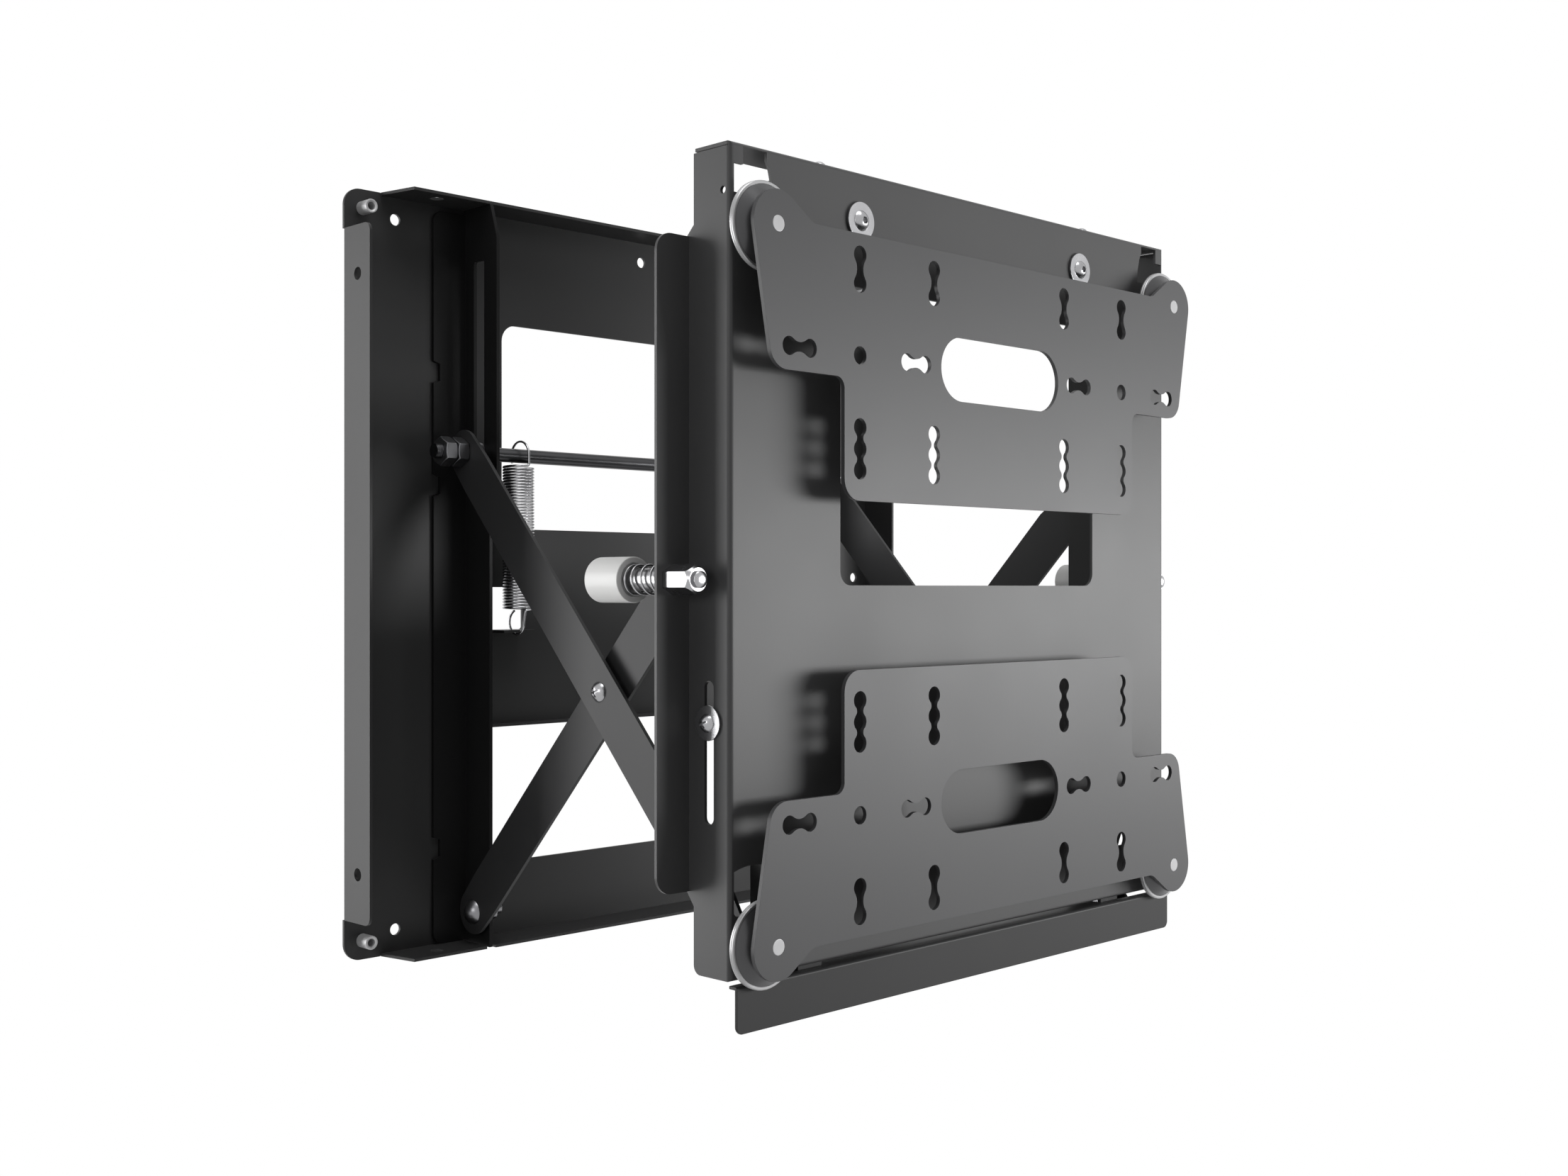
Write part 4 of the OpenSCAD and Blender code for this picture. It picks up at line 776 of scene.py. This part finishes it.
def plunger_nut():
    corner = NUT_FLATS / 2 / math.cos(HALF_SIDE)
    inside, ahead = NUT_BACK_CHAMFER
    piece = turned(-PLUNGER_X, PLUNGER_Z, [(corner, NUT_BACK), (corner, NUT_FRONT)], sides=6)
    cutter = turned(-PLUNGER_X, PLUNGER_Z, [
        (corner - inside, NUT_BACK + CUTTER_PAST), (corner + CUTTER_ROOM, NUT_BACK - ahead),
        (corner + CUTTER_ROOM, NUT_FRONT + NUT_CONE * NUT_CONE_SLOPE),
        (corner - NUT_CONE, NUT_FRONT - CUTTER_PAST)], CUTTER_SIDES)
    make_active(piece)
    apply_modifier(piece, "BOOLEAN", operation="INTERSECT", object=cutter, solver="EXACT")
    bpy.data.objects.remove(cutter)
    bpy.ops.object.shade_smooth_by_angle(angle=SMOOTH_ANGLE)
    return piece


for make, name in ((plunger_sleeve, "plunger_sleeves"), (plunger_nut, "plunger_nuts")):
    piece = joined([piece for _, piece in both_sides(make(), PLUNGER_X)])
    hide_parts(name)
    finish_piece(piece, name + "_turned", name)
    print(piece.name, len(piece.data.polygons), "faces")

# %% [markdown]
# ## Corner barrels
# A threaded barrel stands at each corner of the wall plate. Its open end is a ring with a small step
# inside. Drilling it with a Boolean would work, but it is round all over, so it is turned like the
# bumpers, once, and copied to the other three corners.

# %% Turn the corner barrels
BARREL_X, BARREL_Z = 0.3707, 0.372
BARREL_RADIUS, BARREL_RIM, BARREL_STEP, BARREL_BORE = 0.007, 0.0053, 0.0049, 0.004
BARREL_STEP_DEPTH, BARREL_FLOOR = 0.0006, 0.001
BARREL_EDGE = 0.0004


def corner_barrel():
    front, back = (corner.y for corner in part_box("corner_barrels"))
    step = front + BARREL_STEP_DEPTH
    piece = turned(-BARREL_X, -BARREL_Z, [
        (BARREL_RADIUS, back), (BARREL_RADIUS, front), (BARREL_RIM, front), (BARREL_STEP, step),
        (BARREL_BORE, step), (BARREL_BORE, back - BARREL_FLOOR)])
    round_edges(piece, BARREL_EDGE, TURNED_ANGLE)
    return piece


low_left = corner_barrel()
left = [low_left, copy_moved(low_left, (0, 0, 2 * BARREL_Z))]
right = [copy_moved(barrel, (2 * BARREL_X, 0, 0)) for barrel in left]
piece = joined(left + right)
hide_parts("corner_barrels")
finish_piece(piece, "corner_barrels_turned", "corner_barrels")
print(piece.name, len(piece.data.polygons), "faces")

# %% [markdown]
# ## Hand wheels
# Each display plate hangs on two dished wheels. Seen from the side a wheel is a thin rim with a groove,
# then a cone that narrows to the plate. An outline wound with the Screw modifier would do, but the lathe
# is there already. The list gives the radius and the Y of each ring, from the back end of the stud to its
# front end. One wheel is turned in the middle, and copies of it are moved to the four studs.

# %% Turn the hand wheels
WHEEL_PROFILE = [
    (0.0044, -0.484), (0.005, -0.4846), (0.005, -0.505), (0.012, -0.505), (0.012, -0.512), (0.037, -0.512),
    (0.038, -0.5127), (0.038, -0.5143), (0.0377, -0.5145), (0.0377, -0.5149), (0.038, -0.5151),
    (0.038, -0.5160), (0.0372, -0.517), (0.0352, -0.517), (0.0349, -0.5168), (0.018, -0.5262),
    (0.016, -0.5275), (0.007, -0.5275), (0.007, -0.5318), (0.0066, -0.5322),
]
WHEEL_SIDES = 128
WHEEL_EDGE = 0.00025
middle_wheel = turned(0, 0, WHEEL_PROFILE, WHEEL_SIDES)
round_edges(middle_wheel, WHEEL_EDGE, TURNED_ANGLE)
for height, z in (("upper", PATTERN_Z + STUD_HALF), ("lower", PATTERN_Z - STUD_HALF)):
    for side, x in (("left", -STUD_HALF), ("right", STUD_HALF)):
        name = f"adjuster_{height}_{side}"
        piece = copy_moved(middle_wheel, (x, 0, z))
        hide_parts(name)
        finish_piece(piece, name + "_turned", name)
        print(piece.name, len(piece.data.polygons), "faces")
bpy.data.objects.remove(middle_wheel)

# %% [markdown]
# ## Threads on the cross rod
# The ends of the cross rod stand out of their nuts and show a thread. A bump could draw its ridges, but
# the outline of the rod would stay smooth, so a thin wire is wound on the rod's surface and partly sunk
# into it.

# %% Wind the threads
THREAD_PITCH = 0.00175
THREAD_TURNS = 3.7
THREAD_STEPS = int(THREAD_TURNS * RINGS_A_TURN * 1.5)
THREAD_WIRE = 0.0006
THREAD_SUNK = THREAD_WIRE * 0.4
THREAD_END_GAP = 0.0003
rod_low, rod_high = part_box("cross_rod")
rod_radius = (rod_high.z - rod_low.z) / 2


def rod_thread():
    piece = wire_section(THREAD_WIRE, (0, -rod_radius + THREAD_SUNK, 0))
    wind(piece, THREAD_TURNS, THREAD_PITCH * THREAD_TURNS, THREAD_STEPS)
    bpy.ops.object.mode_set(mode="EDIT")
    bpy.ops.mesh.select_all(action="SELECT")
    bpy.ops.transform.rotate(value=math.pi / 2, orient_axis="Y", center_override=(0, 0, 0))
    bpy.ops.object.mode_set(mode="OBJECT")
    leftmost = min(point.co.x for point in piece.data.vertices)
    bpy.ops.object.mode_set(mode="EDIT")
    close_wire(piece, (rod_low.x + THREAD_END_GAP - leftmost, PIVOT_Y, ROD_Z))
    return piece


left_thread = rod_thread()
rightmost = max(point.co.x for point in left_thread.data.vertices)
right_thread = copy_moved(left_thread, (rod_high.x - THREAD_END_GAP - rightmost, 0, 0))
for side, piece in (("left", left_thread), ("right", right_thread)):
    finish_piece(piece, "rod_thread_" + side, "cross_rod")
    print(piece.name, len(piece.data.polygons), "faces")

# %% [markdown]
# ## The studio
# A pale floor lies well below the mount, which hangs on a wall in use. The floor and the sky look white
# to the camera and to reflections, and light the object only softly: a sky that lit it as strongly as it
# looks would wash the dark paint out. The kind of a ray tells the two apart.

# %% Floor and sky
FLOOR_SIZE, FLOOR_Z = 30, -1.25
FLOOR_SHADE = (0.8, 0.8, 0.8, 1)
WHITE = (1, 1, 1, 1)
SKY_LIGHT = 0.065


def seen_directly(tree):
    """1 for camera, glossy and transmission rays, and 0 for the rays that light the object."""
    camera_ray = node(tree, "ShaderNodeLightPath", output="Is Camera Ray")
    glossy, transmission = camera_ray.beside("Is Glossy Ray"), camera_ray.beside("Is Transmission Ray")
    return (camera_ray + glossy + transmission).clamp()


bpy.ops.mesh.primitive_plane_add(size=FLOOR_SIZE, location=(0, 0, FLOOR_Z))
floor = bpy.context.object
floor.name = "studio_floor"
floor_material = bpy.data.materials.new("pale_floor")
floor_material.use_nodes = True
tree = floor_material.node_tree
tree.nodes.remove(tree.nodes["Principled BSDF"])
matt = node(tree, "ShaderNodeBsdfDiffuse", {"Color": FLOOR_SHADE})
white = node(tree, "ShaderNodeEmission", {"Color": WHITE, "Strength": 1.0})
both = node(tree, "ShaderNodeMixShader", {0: seen_directly(tree), 1: matt, 2: white})
plug(tree, tree.nodes["Material Output"].inputs["Surface"], both)
floor.data.materials.append(floor_material)

world = bpy.data.worlds.new("studio_sky")
bpy.context.scene.world = world
world.use_nodes = True
tree = world.node_tree
background = tree.nodes["Background"]
plug(tree, background.inputs["Color"], WHITE)
plug(tree, background.inputs["Strength"], seen_directly(tree) * (1 - SKY_LIGHT) + SKY_LIGHT)
print(floor.name, "at", FLOOR_Z, "and", world.name, "which lights the object at", SKY_LIGHT)

# %% [markdown]
# ## Soft boxes
# Four soft boxes light the mount. A wide one at the front right gives the front faces their bright
# band, and one above lights what faces up. A tall one behind the left side picks out the flange of the
# wall plate, and a weak one at the left lifts the shaded sides. Point lamps would give hard spots on
# satin paint, so each lamp is an area. Each line gives its place, what it is turned to, its size and its
# power in watts.

# %% Place the soft boxes
SOFT_BOXES = {
    "front_right_box": ((1.9, -2.6, -0.03), (0, -0.5, -0.02), (2.2, 0.56), 71),
    "top_box": ((-0.3, -0.9, 2.2), (0, -0.3, 0), (1.6, 1.2), 26),
    "left_rear_box": ((-1.9, 1.5, 0.0), (-0.35, -0.1, 0), (0.9, 1.8), 42),
    "left_box": ((-2.7, -0.9, 0.5), (-0.3, -0.35, 0), (0.9, 0.9), 10),
}
for name, (at, target, size, power) in SOFT_BOXES.items():
    aim = (Vector(target) - Vector(at)).to_track_quat("-Z", "Y").to_euler()
    bpy.ops.object.light_add(type="AREA", location=at, rotation=aim)
    lamp = bpy.context.object
    lamp.name = name
    lamp.data.shape = "RECTANGLE"
    lamp.data.size, lamp.data.size_y = size
    lamp.data.energy = power
    print(lamp.name, power, "W")

# %% [markdown]
# ## Colour management
# The Standard view shows a colour as it is written, which suits a product on white. A film-like view
# bends the lightest and darkest tones, so that a white ground would turn grey.

# %% Choose the view
view = bpy.context.scene.view_settings
view.view_transform = "Standard"
print("view transform:", view.view_transform)
